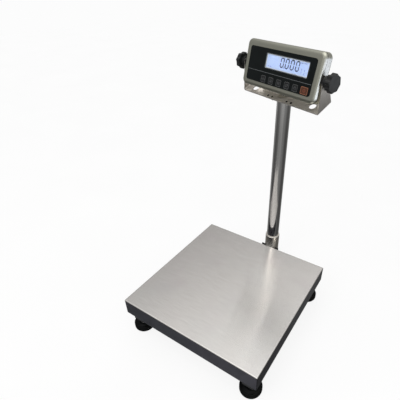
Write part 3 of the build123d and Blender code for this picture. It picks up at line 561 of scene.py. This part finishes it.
# Depths in the case frame: the display's glass, the overlay's face and the keys' faces.
GLASS_Y = -13.0
PRINT_Y = -15.7
KEY_Y = -16.2
INK_LEVELS = (GLASS_Y - 0.08, GLASS_Y - 0.02)
PRINT_LEVELS = (PRINT_Y - 0.06, PRINT_Y)
WINDOW = in_case(centre_of("display_window"))
DISPLAY_W = 140.0
DISPLAY_H = 33.0
DIGITS = 4
DIGIT_W = 9.4
DIGIT_H = 20.4
DIGIT_PITCH = 16.6
DIGIT_LEAN = 0.05
FIRST_DIGIT_X = 6.4
DIGIT_RISE = 2.6
SEGMENT_THICK = 3.1
SEGMENT_GAP = 0.5


def segment(bm, x, z, length, upright, matrix):
    """One display segment: a leaning bar with pointed ends."""
    half, edge = length / 2, SEGMENT_THICK / 2
    flat = half - edge
    shape = [(-half, 0), (-flat, edge), (flat, edge), (half, 0), (flat, -edge), (-flat, -edge)]
    if upright:
        shape = [(v, u) for u, v in shape]
    outline = [(x + u + (z + v) * DIGIT_LEAN, z + v) for u, v in shape]
    slab(bm, outline, *INK_LEVELS, matrix)


# A zero's lit segments: the place of each in half widths and half heights, and whether it's upright.
ZERO = (
    (0, 1, False),
    (0, -1, False),
    (-1, 0.5, True),
    (1, 0.5, True),
    (-1, -0.5, True),
    (1, -0.5, True),
)


def make_digits():
    """Four zeros with a point after the first, as seven-segment digits on the glass."""
    bm = bmesh.new()
    middle = WINDOW.z + DIGIT_RISE
    for digit in range(DIGITS):
        here = CASE @ Matrix.Translation((FIRST_DIGIT_X + digit * DIGIT_PITCH, 0, middle))
        for side, level, upright in ZERO:
            length = (DIGIT_H / 2 if upright else DIGIT_W) - SEGMENT_GAP
            segment(bm, side * DIGIT_W / 2, level * DIGIT_H / 2, length, upright, here)
    point_place = (FIRST_DIGIT_X + DIGIT_PITCH / 2, 0, middle - DIGIT_H / 2)
    slab(bm, circle(1.1, steps=20), *INK_LEVELS, CASE @ Matrix.Translation(point_place))
    piece("lcd_digits", bm, "indicator", LCD_INK, smooth=False)


def make_display_marks():
    """Small status bars round the digits."""
    bm = bmesh.new()
    left = WINDOW.x - DISPLAY_W / 2
    right = WINDOW.x + DISPLAY_W / 2
    low = WINDOW.z - DISPLAY_H / 2
    high = WINDOW.z + DISPLAY_H / 2
    marks = [
        (left + 10, low + 5.2, 5.5, 1.1),
        (left + 17.5, low + 5.2, 5.5, 1.1),
        (right - 24, high - 5.0, 7.5, 1.3),
        (right - 13.5, high - 5.0, 9.0, 1.3),
        (right - 21.5, low + 14.5, 1.3, 4.2),
        (right - 21.5, low + 8.5, 1.3, 4.2),
        (right - 12.5, low + 13.2, 1.4, 4.0),
        (right - 12.5, low + 7.0, 1.4, 4.0),
        (left + 8, high - 6.0, 3.0, 1.1),
    ]
    for x, z, width, height in marks:
        outline = round_box(width, height, 0.45, x, z, 3)
        slab(bm, outline, *INK_LEVELS, CASE)
    piece("lcd_status_marks", bm, "indicator", LCD_FAINT, smooth=False)


def make_display_rim():
    """The pale rim of the glass round its active area."""
    bm = bmesh.new()
    outer = round_box(DISPLAY_W + 1.0, DISPLAY_H + 1.0, 0.8, WINDOW.x, WINDOW.z, 3)
    inner = round_box(DISPLAY_W - 5.0, DISPLAY_H - 4.4, 0.6, WINDOW.x, WINDOW.z, 3)
    ribbon(bm, outer, inner, GLASS_Y - 0.16, GLASS_Y - 0.01, CASE)
    piece("lcd_rim", bm, "indicator", LCD_RIM, smooth=False)


# ---------------------------------------------------------------- overlay and keys


def make_overlay_print():
    """The divider line between display and keys, and a hairline round the window."""
    bm = bmesh.new()
    line_z = -12.8
    slab(bm, round_box(219.0, 0.75, 0.3, 0.0, line_z, 2), *PRINT_LEVELS, CASE)
    outer = round_box(DISPLAY_W + 2.6, DISPLAY_H + 2.6, 3.2, WINDOW.x, WINDOW.z, 5)
    inner = round_box(DISPLAY_W + 1.6, DISPLAY_H + 1.6, 2.7, WINDOW.x, WINDOW.z, 5)
    ribbon(bm, outer, inner, *PRINT_LEVELS, CASE)
    piece("overlay_print", bm, "indicator", PRINT_GREY, smooth=False)


def symbol_zero(bm, frame_here, near, far):
    """A ring between two arrowheads."""
    ribbon(bm, circle(2.6, steps=28), circle(1.7, steps=28), near, far, frame_here)
    for side in (-1, 1):
        slab(bm, [(side * 6.2, -1.6), (side * 6.2, 1.6), (side * 3.8, 0)], near, far, frame_here)


def symbol_tare(bm, frame_here, near, far):
    """A pan over a line."""
    slab(bm, round_box(9, 1.0, 0.4, 0, -2.6, 2), near, far, frame_here)
    outer, inner = round_box(6, 4.2, 0.6, 0, 0.6, 2), round_box(4.2, 2.4, 0.4, 0, 0.6, 2)
    ribbon(bm, outer, inner, near, far, frame_here)


def symbol_hold(bm, frame_here, near, far):
    """Two upright bars."""
    for side in (-1, 1):
        slab(bm, round_box(1.8, 6.4, 0.4, side * 2.1, 0, 2), near, far, frame_here)


def symbol_unit(bm, frame_here, near, far):
    """Two arrows, one each way."""
    for side in (-1, 1):
        slab(bm, round_box(7.0, 1.0, 0.4, 0, side * 1.8, 2), near, far, frame_here)
        head = [(side * 5.4, side * 1.8), (side * 2.6, side * 3.9), (side * 2.6, side * -0.3)]
        slab(bm, head, near, far, frame_here)


def symbol_print(bm, frame_here, near, far):
    """A printer with a sheet."""
    outer, inner = round_box(8.4, 4.0, 0.7, 0, -0.6, 2), round_box(6.8, 2.4, 0.5, 0, -0.6, 2)
    ribbon(bm, outer, inner, near, far, frame_here)
    slab(bm, round_box(5.2, 1.4, 0.3, 0, 2.6, 2), near, far, frame_here)


def symbol_power(bm, frame_here, near, far):
    """An open ring with a bar in its gap."""
    gap, count, outer, inner = 0.62, 24, 3.6, 2.7
    rows = []
    for i in range(count + 1):
        angle = math.pi / 2 + gap + (2 * math.pi - 2 * gap) * i / count
        rows.append((math.cos(angle), math.sin(angle)))
    outline = [(outer * x, outer * z) for x, z in rows]
    outline += [(inner * x, inner * z) for x, z in rows[::-1]]
    front = [bm.verts.new(frame_here @ Vector((x, near, z))) for x, z in outline]
    back = [bm.verts.new(frame_here @ Vector((x, far, z))) for x, z in outline]
    total = len(outline)
    for i in range(count):
        j = total - 1 - i
        bm.faces.new((front[i], front[i + 1], front[j - 1], front[j]))
        bm.faces.new((back[j], back[j - 1], back[i + 1], back[i]))
    for i in range(total):
        j = (i + 1) % total
        bm.faces.new((front[j], front[i], back[i], back[j]))
    slab(bm, round_box(0.95, 4.2, 0.4, 0, 2.4, 2), near, far, frame_here)


SYMBOLS = {
    "zero": symbol_zero,
    "tare": symbol_tare,
    "hold": symbol_hold,
    "unit": symbol_unit,
    "print": symbol_print,
    "power": symbol_power,
}


KEY_SIZE = (17.0, 16.0)
POWER_KEY_SIZE = (22.0, 17.0)


def make_key_details():
    """The printed outline and the symbol on each key's face."""
    for key, symbol in SYMBOLS.items():
        node = "key_" + key
        power = key == "power"
        centre = in_case(centre_of(node))
        width, height = POWER_KEY_SIZE if power else KEY_SIZE
        here = CASE @ Matrix.Translation((centre.x, 0, centre.z))
        line = bmesh.new()
        outer = round_box(width - 0.6, height - 0.6, 2.3)
        inner = round_box(width - 2.6, height - 2.6, 1.5)
        ribbon(line, outer, inner, KEY_Y - 0.14, KEY_Y, here)
        piece(node + "_outline", line, node, POWER_LINE if power else KEY_LINE, sharp=30)
        mark = bmesh.new()
        symbol(mark, here, KEY_Y - 0.06, KEY_Y)
        piece(node + "_symbol", mark, node, POWER_MARK if power else KEY_LINE, smooth=False)


# ---------------------------------------------------------------- feet and level

CORNERS = ("front_left", "front_right", "rear_left", "rear_right")
STUD_RADIUS = 5.0
STUD_PITCH = 1.5
COLLAR_HEIGHT = 2.5
COLLAR_RADIUS = 12.0
LIQUID_DEPTH = 2.5
BUBBLE_DEPTH = 0.7


def make_feet():
    """Each pad as it is moulded: flat sole with a groove, bulging wall, ribbed shoulder."""
    for corner in CORNERS:
        node = "foot_pad_" + corner
        low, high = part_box(node)
        centre = (low + high) / 2
        radius = (high.x - low.x) / 2 / MM
        height = (high.z - low.z) / MM
        here = Matrix.Translation((centre.x, centre.y, low.z)) @ ROW
        profile = [(0, 1.2), (9, 1.2), (9.8, 0.0)]
        profile += [(radius - 9.5, 0.0), (radius - 9.0, 0.8), (radius - 8.4, 0.0)]
        profile += arc_profile((radius - 7.4, 7.4), 7.4, -90, -8, 9)
        profile += [(radius - 0.1, 8.6), (radius - 0.8, 9.0)]
        profile += [(radius - 0.8, 10.0), (radius - 0.1, 10.4)]
        profile += arc_profile((radius - 3.6, height - 6.0), 3.5, 0, 78, 6)
        profile += [(radius - 7.0, height - 2.2), (radius - 7.6, height - 1.5)]
        profile += [(17.4, height - 0.5), (16.8, height), (12.5, height), (12.2, height)]
        profile += [(12.2, height - 0.6), (0, height - 0.6)]
        bm = bmesh.new()
        lathe(bm, profile, here, 72)
        slot = SLOT_OF[node]
        made = piece(node + "_moulded", bm, "foot_" + corner, LOOKS[slot], sharp=50)
        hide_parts(node)


def make_foot_studs():
    """Each stud: a plain end inside its pad, a collar on the pad, and a thread above."""
    for corner in CORNERS:
        node = "foot_stud_" + corner
        low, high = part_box(node)
        centre = (low + high) / 2
        here = Matrix.Translation((centre.x, centre.y, 0)) @ ROW
        base, top = low.z / MM, high.z / MM
        collar_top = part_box("foot_pad_" + corner)[1].z / MM + COLLAR_HEIGHT
        thread_base = collar_top - 1
        collar_base = collar_top - COLLAR_HEIGHT
        bm = bmesh.new()
        thread_place = here @ Matrix.Translation((0, 0, thread_base))
        helical_thread(bm, thread_place, STUD_RADIUS, STUD_PITCH, top - thread_base)
        plain_top = collar_base - 0.1
        lathe(bm, [(0, base), (4.0, base), (4.0, plain_top), (0, plain_top)], here, 32)
        collar = [(0, collar_base), (COLLAR_RADIUS - 0.6, collar_base)]
        collar += [(COLLAR_RADIUS, collar_base + 0.5), (COLLAR_RADIUS, collar_top - 0.5)]
        collar += [(COLLAR_RADIUS - 0.6, collar_top), (0, collar_top)]
        lathe(bm, collar, here, 48)
        slot = SLOT_OF[node]
        made = piece(node + "_threaded", bm, "foot_" + corner, LOOKS[slot], sharp=40)
        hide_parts(node)


def make_level():
    """The level's liquid with its bubble under the window, and the ring marked on the glass."""
    low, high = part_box("level_window")
    centre = (low + high) / 2
    radius = (high.x - low.x) / 2 / MM
    face = (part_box("level_body")[1].z - low.z) / MM
    here = Matrix.Translation((centre.x, centre.y, low.z)) @ ROW
    body = BODY_OF["level_window"]
    ring = bmesh.new()
    outer, inner = radius * 0.45, radius * 0.37
    under, over = face + 0.01, face + 0.08
    section = [(outer, under), (outer, over), (inner, over), (inner, under), (outer, under)]
    lathe(ring, section, here, 48)
    piece("level_ring", ring, body, LOOKS["black_plastic"])
    liquid = bmesh.new()
    bubble = radius * 0.3
    wall, surface = radius - 0.2, -0.05
    profile = [(0, -LIQUID_DEPTH), (wall, -LIQUID_DEPTH), (wall, surface), (bubble, surface)]
    for turn in (0.4, 0.8, 1.2):
        profile.append((bubble * math.cos(turn), surface - BUBBLE_DEPTH * math.sin(turn)))
    profile.append((0, surface - BUBBLE_DEPTH))
    lathe(liquid, profile, here, 48)
    piece("level_liquid", liquid, body, LIQUID)


make_digits()
make_display_marks()
make_display_rim()
make_overlay_print()
make_key_details()
make_feet()
make_foot_studs()
make_level()

# ---------------------------------------------------------------- yoke and bracket

# Places in the yoke frame.
PLATE_TOP = -59.5
FRONT_ROW_Y = -35.8
CABLE_HOLE_Y = -18.3
SCREW_HOLE_X = 26.6
SPARE_HOLE_X = 41.6
CABLE_HOLE_RADIUS = 15.0
CABLE_BORE = 3.4


def make_painted_hole_shade():
    """Painted shade: low black plugs in the spare holes and in the ends of the screw holes, dark pieces that stand
    for the shade inside the holes and the screws' sockets.
    """
    bm = bmesh.new()
    kinds = {SPARE_HOLE_X: (1.45, -1.7), SCREW_HOLE_X: (1.6, -0.5)}
    for x in (-SPARE_HOLE_X, -SCREW_HOLE_X, SCREW_HOLE_X, SPARE_HOLE_X):
        shank, depth = kinds[abs(x)]
        profile = [(0, depth), (shank, depth), (shank, 0.0)]
        profile += arc_profile((2.2, 0.0), 0.8, 0, 90, 4) + [(0, 0.95)]
        lathe(bm, profile, YOKE @ Matrix.Translation((x, FRONT_ROW_Y, PLATE_TOP)), 32)
    piece("yoke_hole_shade", bm, "column", LOOKS["black_rubber"], sharp=50)


def make_cable_bush():
    """A low steel bush in the yoke's cable hole, bored for the cable that goes up to the case."""
    bm = bmesh.new()
    here = YOKE @ Matrix.Translation((0, CABLE_HOLE_Y, PLATE_TOP))
    shank = CABLE_HOLE_RADIUS - 0.3
    lip = CABLE_HOLE_RADIUS + 1.2
    start = (CABLE_BORE, -1.7)
    profile = [start, (shank, -1.7), (shank, 0.0), (lip, 0.0), (lip - 0.2, 0.35), (lip - 0.8, 0.55)]
    profile += [(CABLE_BORE + 0.5, 0.7), (CABLE_BORE, 0.3), start]
    lathe(bm, profile, here, 72)
    bmesh.ops.remove_doubles(bm, verts=bm.verts, dist=1e-6)
    piece("cable_bush", bm, "column", LOOKS["satin_steel"], sharp=50)


BRACKET_WALL = 3.0
# The caps' reach to each side of the socket, their lip's thickness, and their plug's depth and play.
CAP_INNER_X = 17.0
CAP_OUTER_X = 30.0
CAP_LIP = 2.0
CAP_PLUG = 8.0
CAP_PLAY = 0.2


def make_bracket_caps():
    """Plastic plugs in the ends of the bracket's box tube, beside the socket."""
    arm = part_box("column_bracket")[1] / MM
    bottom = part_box("column_socket")[0].z / MM
    middle, height = (arm.z + bottom) / 2, arm.z - bottom
    width = CAP_OUTER_X - CAP_INNER_X
    plug_width = width - BRACKET_WALL - CAP_PLAY
    plug_height = height - 2 * BRACKET_WALL - 2 * CAP_PLAY
    plug_x = (CAP_INNER_X + CAP_OUTER_X - BRACKET_WALL - CAP_PLAY) / 2
    bm = bmesh.new()
    for side in (-1, 1):
        lip = round_box(width, height, 1.5, side * (CAP_INNER_X + CAP_OUTER_X) / 2, middle, 4)
        slab(bm, lip, arm.y, arm.y + CAP_LIP, ROW)
        plug = round_box(plug_width, plug_height, 0.8, side * plug_x, middle, 3)
        slab(bm, plug, arm.y - CAP_PLUG, arm.y, ROW)
    piece("bracket_end_caps", bm, "base", LOOKS["black_plastic"], smooth=False)


make_painted_hole_shade()
make_cable_bush()
make_bracket_caps()

# ---------------------------------------------------------------- welds


BEAD_STEP = 0.0012
BEAD_INSET = 0.002


def ring_points(centre, radius, count, lift):
    """Points round a centre, each raised by what lift gives for its offset from it."""
    points = []
    for i in range(count):
        angle = 2 * math.pi * i / count
        x, y = radius * math.cos(angle), radius * math.sin(angle)
        points.append(Vector((centre[0] + x, centre[1] + y, centre[2] + lift(x, y))))
    return points


def make_frame_welds():
    """Fillet beads where the cross tubes meet the rails."""
    bm = bmesh.new()
    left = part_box("base_rail_left")[1].x
    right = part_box("base_rail_right")[0].x
    for node in ("base_front_tube", "base_rear_tube", "base_crossbeam"):
        low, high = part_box(node)
        top = high.z - 0.0002
        for x in (left, right):
            for y in (low.y, high.y):
                start, end = (x, y, low.z + BEAD_INSET), (x, y, high.z - BEAD_INSET)
                weld_bead(bm, line_points(start, end, BEAD_STEP), 0.0017)
            start, end = (x, low.y + BEAD_INSET, top), (x, high.y - BEAD_INSET, top)
            weld_bead(bm, line_points(start, end, BEAD_STEP), 0.0014)
    piece("frame_welds", bm, "base", WELD, sharp=60)


def make_socket_rim():
    """The turned bright edge on the socket's mouth."""
    low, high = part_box("column_socket")
    bm = bmesh.new()
    outer = (high.x - low.x) / 2 / MM
    here = Matrix.Translation((COLUMN_FOOT.x, COLUMN_FOOT.y, high.z)) @ ROW
    profile = [(outer - 0.9, -0.6), (outer - 0.9, 0.0)]
    profile += arc_profile((outer - 0.75, -0.75), 0.78, 90, 0, 5)
    profile += [(outer + 0.03, -1.5), (outer - 0.9, -0.6)]
    lathe(bm, profile, here, 72)
    piece("socket_mouth", bm, "base", RIM_STEEL, sharp=60)


def make_column_weld():
    """The bead between the tube's sloping top and the plate welded on it."""
    low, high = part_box("column_tube")
    radius = (high.x - low.x) / 2
    normal = (YOKE.to_3x3() @ Vector((0, 0, 1))).normalized()
    # The plate's underside passes through the tube's top edge, whose highest point is at its back.
    back = LEVEL_INWARD * radius

    def lift(x, y):
        return -(normal.x * (x - back.x) + normal.y * (y - back.y)) / normal.z

    centre = (COLUMN_FOOT.x, COLUMN_FOOT.y, high.z - 0.0009)
    bm = bmesh.new()
    weld_bead(bm, ring_points(centre, radius + 0.0006, 96, lift), 0.0013, closed=True)
    piece("column_weld", bm, "column", WELD, sharp=60)


make_frame_welds()
make_socket_rim()
make_column_weld()

# ---------------------------------------------------------------- floor, light and camera


FLOOR_HALF = 6.0
PALE = 0.974


def make_floor():
    """A plain pale floor that glows a little, so it meets the background with no horizon."""
    bm = bmesh.new()
    signs = ((-1, -1), (1, -1), (1, 1), (-1, 1))
    bm.faces.new([bm.verts.new((x * FLOOR_HALF, y * FLOOR_HALF, 0)) for x, y in signs])
    mesh = bpy.data.meshes.new("floor")
    bm.to_mesh(mesh)
    bm.free()
    floor = bpy.data.objects.new("floor", mesh)
    bpy.context.scene.collection.objects.link(floor)
    look = Look("floor", Roughness=0.9)
    soft = look.spread(look.noise(3, 2), 0, 1)
    look.colour(look.blend(soft, (0.105, 0.105, 0.105), (0.115, 0.115, 0.115)))
    look.shader.inputs["Emission Color"].default_value = (1, 1, 1, 1)
    look.shader.inputs["Emission Strength"].default_value = 0.86
    look.shader.inputs["Specular IOR Level"].default_value = 0.0
    mesh.materials.append(look.material)
    floor.visible_glossy = False


# The studio that metals reflect. By azimuth in degrees: bands below the horizon, and the sky's gain.
BANDS_BELOW = {
    180: 0.20,
    -163: 0.075,
    -125: 0.11,
    -95: 0.22,
    -62: 0.27,
    -30: 0.17,
    20: 0.07,
    62: 0.12,
    100: 0.30,
    125: 0.10,
    150: 0.24,
}
SKY_GAIN = {180: 0.9, -110: 1.7, -30: 1.7, 60: 1.0, 102: 1.1, 150: 0.88}
# By height: the gain from straight down (0) to the horizon (1), and the sky from there to overhead.
HORIZON_GAIN = [(0.0, 0.7), (0.62, 1.0), (0.8, 1.7), (1.0, 2.6)]
SKY_BY_HEIGHT = [(0.0, 0.38), (0.3, 0.38), (0.55, 0.385), (0.72, 0.65), (0.86, 1.24), (1.0, 1.45)]


def make_world():
    """A soft studio: bright above, dark and banded below, and plain pale behind the object."""
    world = bpy.data.worlds.new("studio")
    bpy.context.scene.world = world
    world.use_nodes = True
    tree = world.node_tree
    tree.nodes.clear()

    def node(kind, **settings):
        made = tree.nodes.new(kind)
        for key, value in settings.items():
            setattr(made, key, value)
        return made

    def feed(sockets, values):
        for socket, value in zip(sockets, values):
            if isinstance(value, bpy.types.NodeSocket):
                tree.links.new(value, socket)
            else:
                socket.default_value = value

    def math_node(operation, first, second):
        made = node("ShaderNodeMath", operation=operation)
        feed(made.inputs, (first, second))
        return made.outputs[0]

    def ramp(source, stops):
        made = node("ShaderNodeValToRGB")
        made.color_ramp.interpolation = "EASE"
        elements = made.color_ramp.elements
        for place, _ in stops[:-2]:
            elements.new(place)
        for element, (place, value) in zip(elements, sorted(stops)):
            element.position = place
            element.color = (value, value, value, 1)
        tree.links.new(source, made.inputs["Fac"])
        return made.outputs["Color"]

    def mixed(factor, first, second, mode="MIX"):
        made = node("ShaderNodeMix", data_type="RGBA", blend_type=mode)
        feed((made.inputs["Factor"], made.inputs["A"], made.inputs["B"]), (factor, first, second))
        return made.outputs["Result"]

    def round_about(stops):
        """Stops given by azimuth in degrees, with the same value at both ends of the turn."""
        places = {(degrees / 360 + 0.5) % 1.0: value for degrees, value in stops.items()}
        return sorted({**places, 1.0: stops[180]}.items())

    split = node("ShaderNodeSeparateXYZ")
    tree.links.new(node("ShaderNodeTexCoord").outputs["Generated"], split.inputs["Vector"])
    x, y, z = split.outputs
    angle = math_node("ARCTAN2", y, x)
    turn = math_node("ADD", math_node("DIVIDE", angle, 2 * math.pi), 0.5)
    bands = ramp(turn, round_about(BANDS_BELOW))
    near_horizon = ramp(math_node("ADD", z, 1.0), HORIZON_GAIN)
    below = mixed(1.0, bands, near_horizon, "MULTIPLY")
    height = ramp(z, SKY_BY_HEIGHT)
    side = ramp(turn, round_about(SKY_GAIN))
    above = mixed(1.0, height, side, "MULTIPLY")
    over = node("ShaderNodeMapRange", interpolation_type="SMOOTHSTEP")
    feed([over.inputs[name] for name in ("Value", "From Min", "From Max")], (z, -0.06, 0.06))
    studio = mixed(over.outputs["Result"], below, above)
    seen = node("ShaderNodeLightPath").outputs["Is Camera Ray"]
    background = node("ShaderNodeBackground")
    tree.links.new(mixed(seen, studio, (PALE, PALE, PALE, 1)), background.inputs["Color"])
    output = node("ShaderNodeOutputWorld")
    tree.links.new(background.outputs["Background"], output.inputs["Surface"])


def area_light(name, place, target, size, power, colour=(1, 1, 1), glossy=True):
    """A rectangular lamp that the camera doesn't see."""
    data = bpy.data.lights.new(name, "AREA")
    data.shape = "RECTANGLE"
    data.size, data.size_y = size
    data.energy = power
    data.color = colour
    light = bpy.data.objects.new(name, data)
    bpy.context.scene.collection.objects.link(light)
    light.location = place
    light.rotation_mode = "QUATERNION"
    light.rotation_quaternion = (Vector(target) - Vector(place)).to_track_quat("-Z", "Y")
    light.visible_camera = False
    light.visible_glossy = glossy
    return light


def collect(name, nodes):
    """A collection of CAD nodes."""
    made = bpy.data.collections.new(name)
    for node in nodes:
        made.objects.link(NODES[node])
    return made


def light_only(light, nodes, blockers=()):
    """Keeps a light to a few nodes of the object, and its shadows to a few others."""
    linking = light.light_linking
    linking.receiver_collection = collect(light.name + "_receivers", nodes)
    if blockers:
        linking.blocker_collection = collect(light.name + "_blockers", blockers)


COOL = (0.74, 0.79, 1.0)
PALE_COOL = (0.93, 0.97, 1.0)
WARM = (1.0, 0.93, 0.86)
PALE_WARM = (1.0, 0.97, 0.93)
CASE_SIDE = (0.116, 0.145, 0.630)
# The strip and the fill stand at the column's front, facing the camera's side of the pan.
STRIP_FACING = Vector((0.34, -0.94, 0.0))
STRIP_PLACE = Vector((COLUMN_FOOT.x + 0.0065, COLUMN_FOOT.y - 0.0185, 0.32))
FILL_PLACE = Vector((COLUMN_FOOT.x - 0.008, COLUMN_FOOT.y - 0.032, 0.45))


def make_lights():
    """A soft key light, and small cards that stand in for what single parts reflect."""
    key_place = (-0.25, -1.5, 1.7)
    area_light("key", key_place, (0, 0, 0.3), (0.6, 0.9), 9.0, (1.0, 0.97, 0.94), glossy=False)
    card = area_light("case_card", (0.285, 0.10, 0.600), CASE_SIDE, (0.50, 0.12), 0.48, COOL)
    light_only(card, ("front_shell", "rear_shell"))
    # The strip draws the bright line along the pan, and the fill lifts the pan beside it.
    strip_size = (0.004, 0.32)
    strip = area_light("strip", STRIP_PLACE, STRIP_PLACE + STRIP_FACING, strip_size, 0.0072, WARM)
    light_only(strip, ("pan",))
    fill = area_light("fill", FILL_PLACE, FILL_PLACE + STRIP_FACING, (0.08, 0.40), 0.017)
    light_only(fill, ("pan",))
    end = area_light("end_card", (0.290, 0.115, 0.600), CASE_SIDE, (0.42, 0.10), 0.10, PALE_COOL)
    light_only(end, ("yoke", "knob_right"))
    low_place, low_target = (0.091, 0.148, 0.079), (0.0, 0.203, 0.135)
    low = area_light("low_card", low_place, low_target, (0.05, 0.05), 0.035, (1.0, 0.95, 0.9))
    light_only(low, ("column_socket",), ("column_tube",))
    plate = YOKE @ Vector((0, -20, PLATE_TOP))
    above = plate + Vector((-0.586, 0.357, 0.727)) * 0.3
    yoke_card = area_light("yoke_card", above, plate, (0.4, 0.14), 0.9, PALE_WARM)
    light_only(yoke_card, ("yoke",), ("column_tube",))


def make_camera():
    """The photograph's viewpoint."""
    data = bpy.data.cameras.new("camera")
    data.sensor_width = 36.0
    data.lens = 31.16
    data.shift_x = -0.0759
    data.shift_y = 0.0255
    data.clip_start = 0.01
    camera = bpy.data.objects.new("camera", data)
    bpy.context.scene.collection.objects.link(camera)
    camera.location = (0.3695, -0.6351, 0.8221)
    camera.rotation_mode = "QUATERNION"
    forward = Vector((-0.4446, 0.6951, -0.5650))
    camera.rotation_quaternion = forward.to_track_quat("-Z", "Y")
    bpy.context.scene.camera = camera


make_floor()
make_world()
make_lights()
make_camera()
bpy.context.scene.view_settings.view_transform = "Standard"
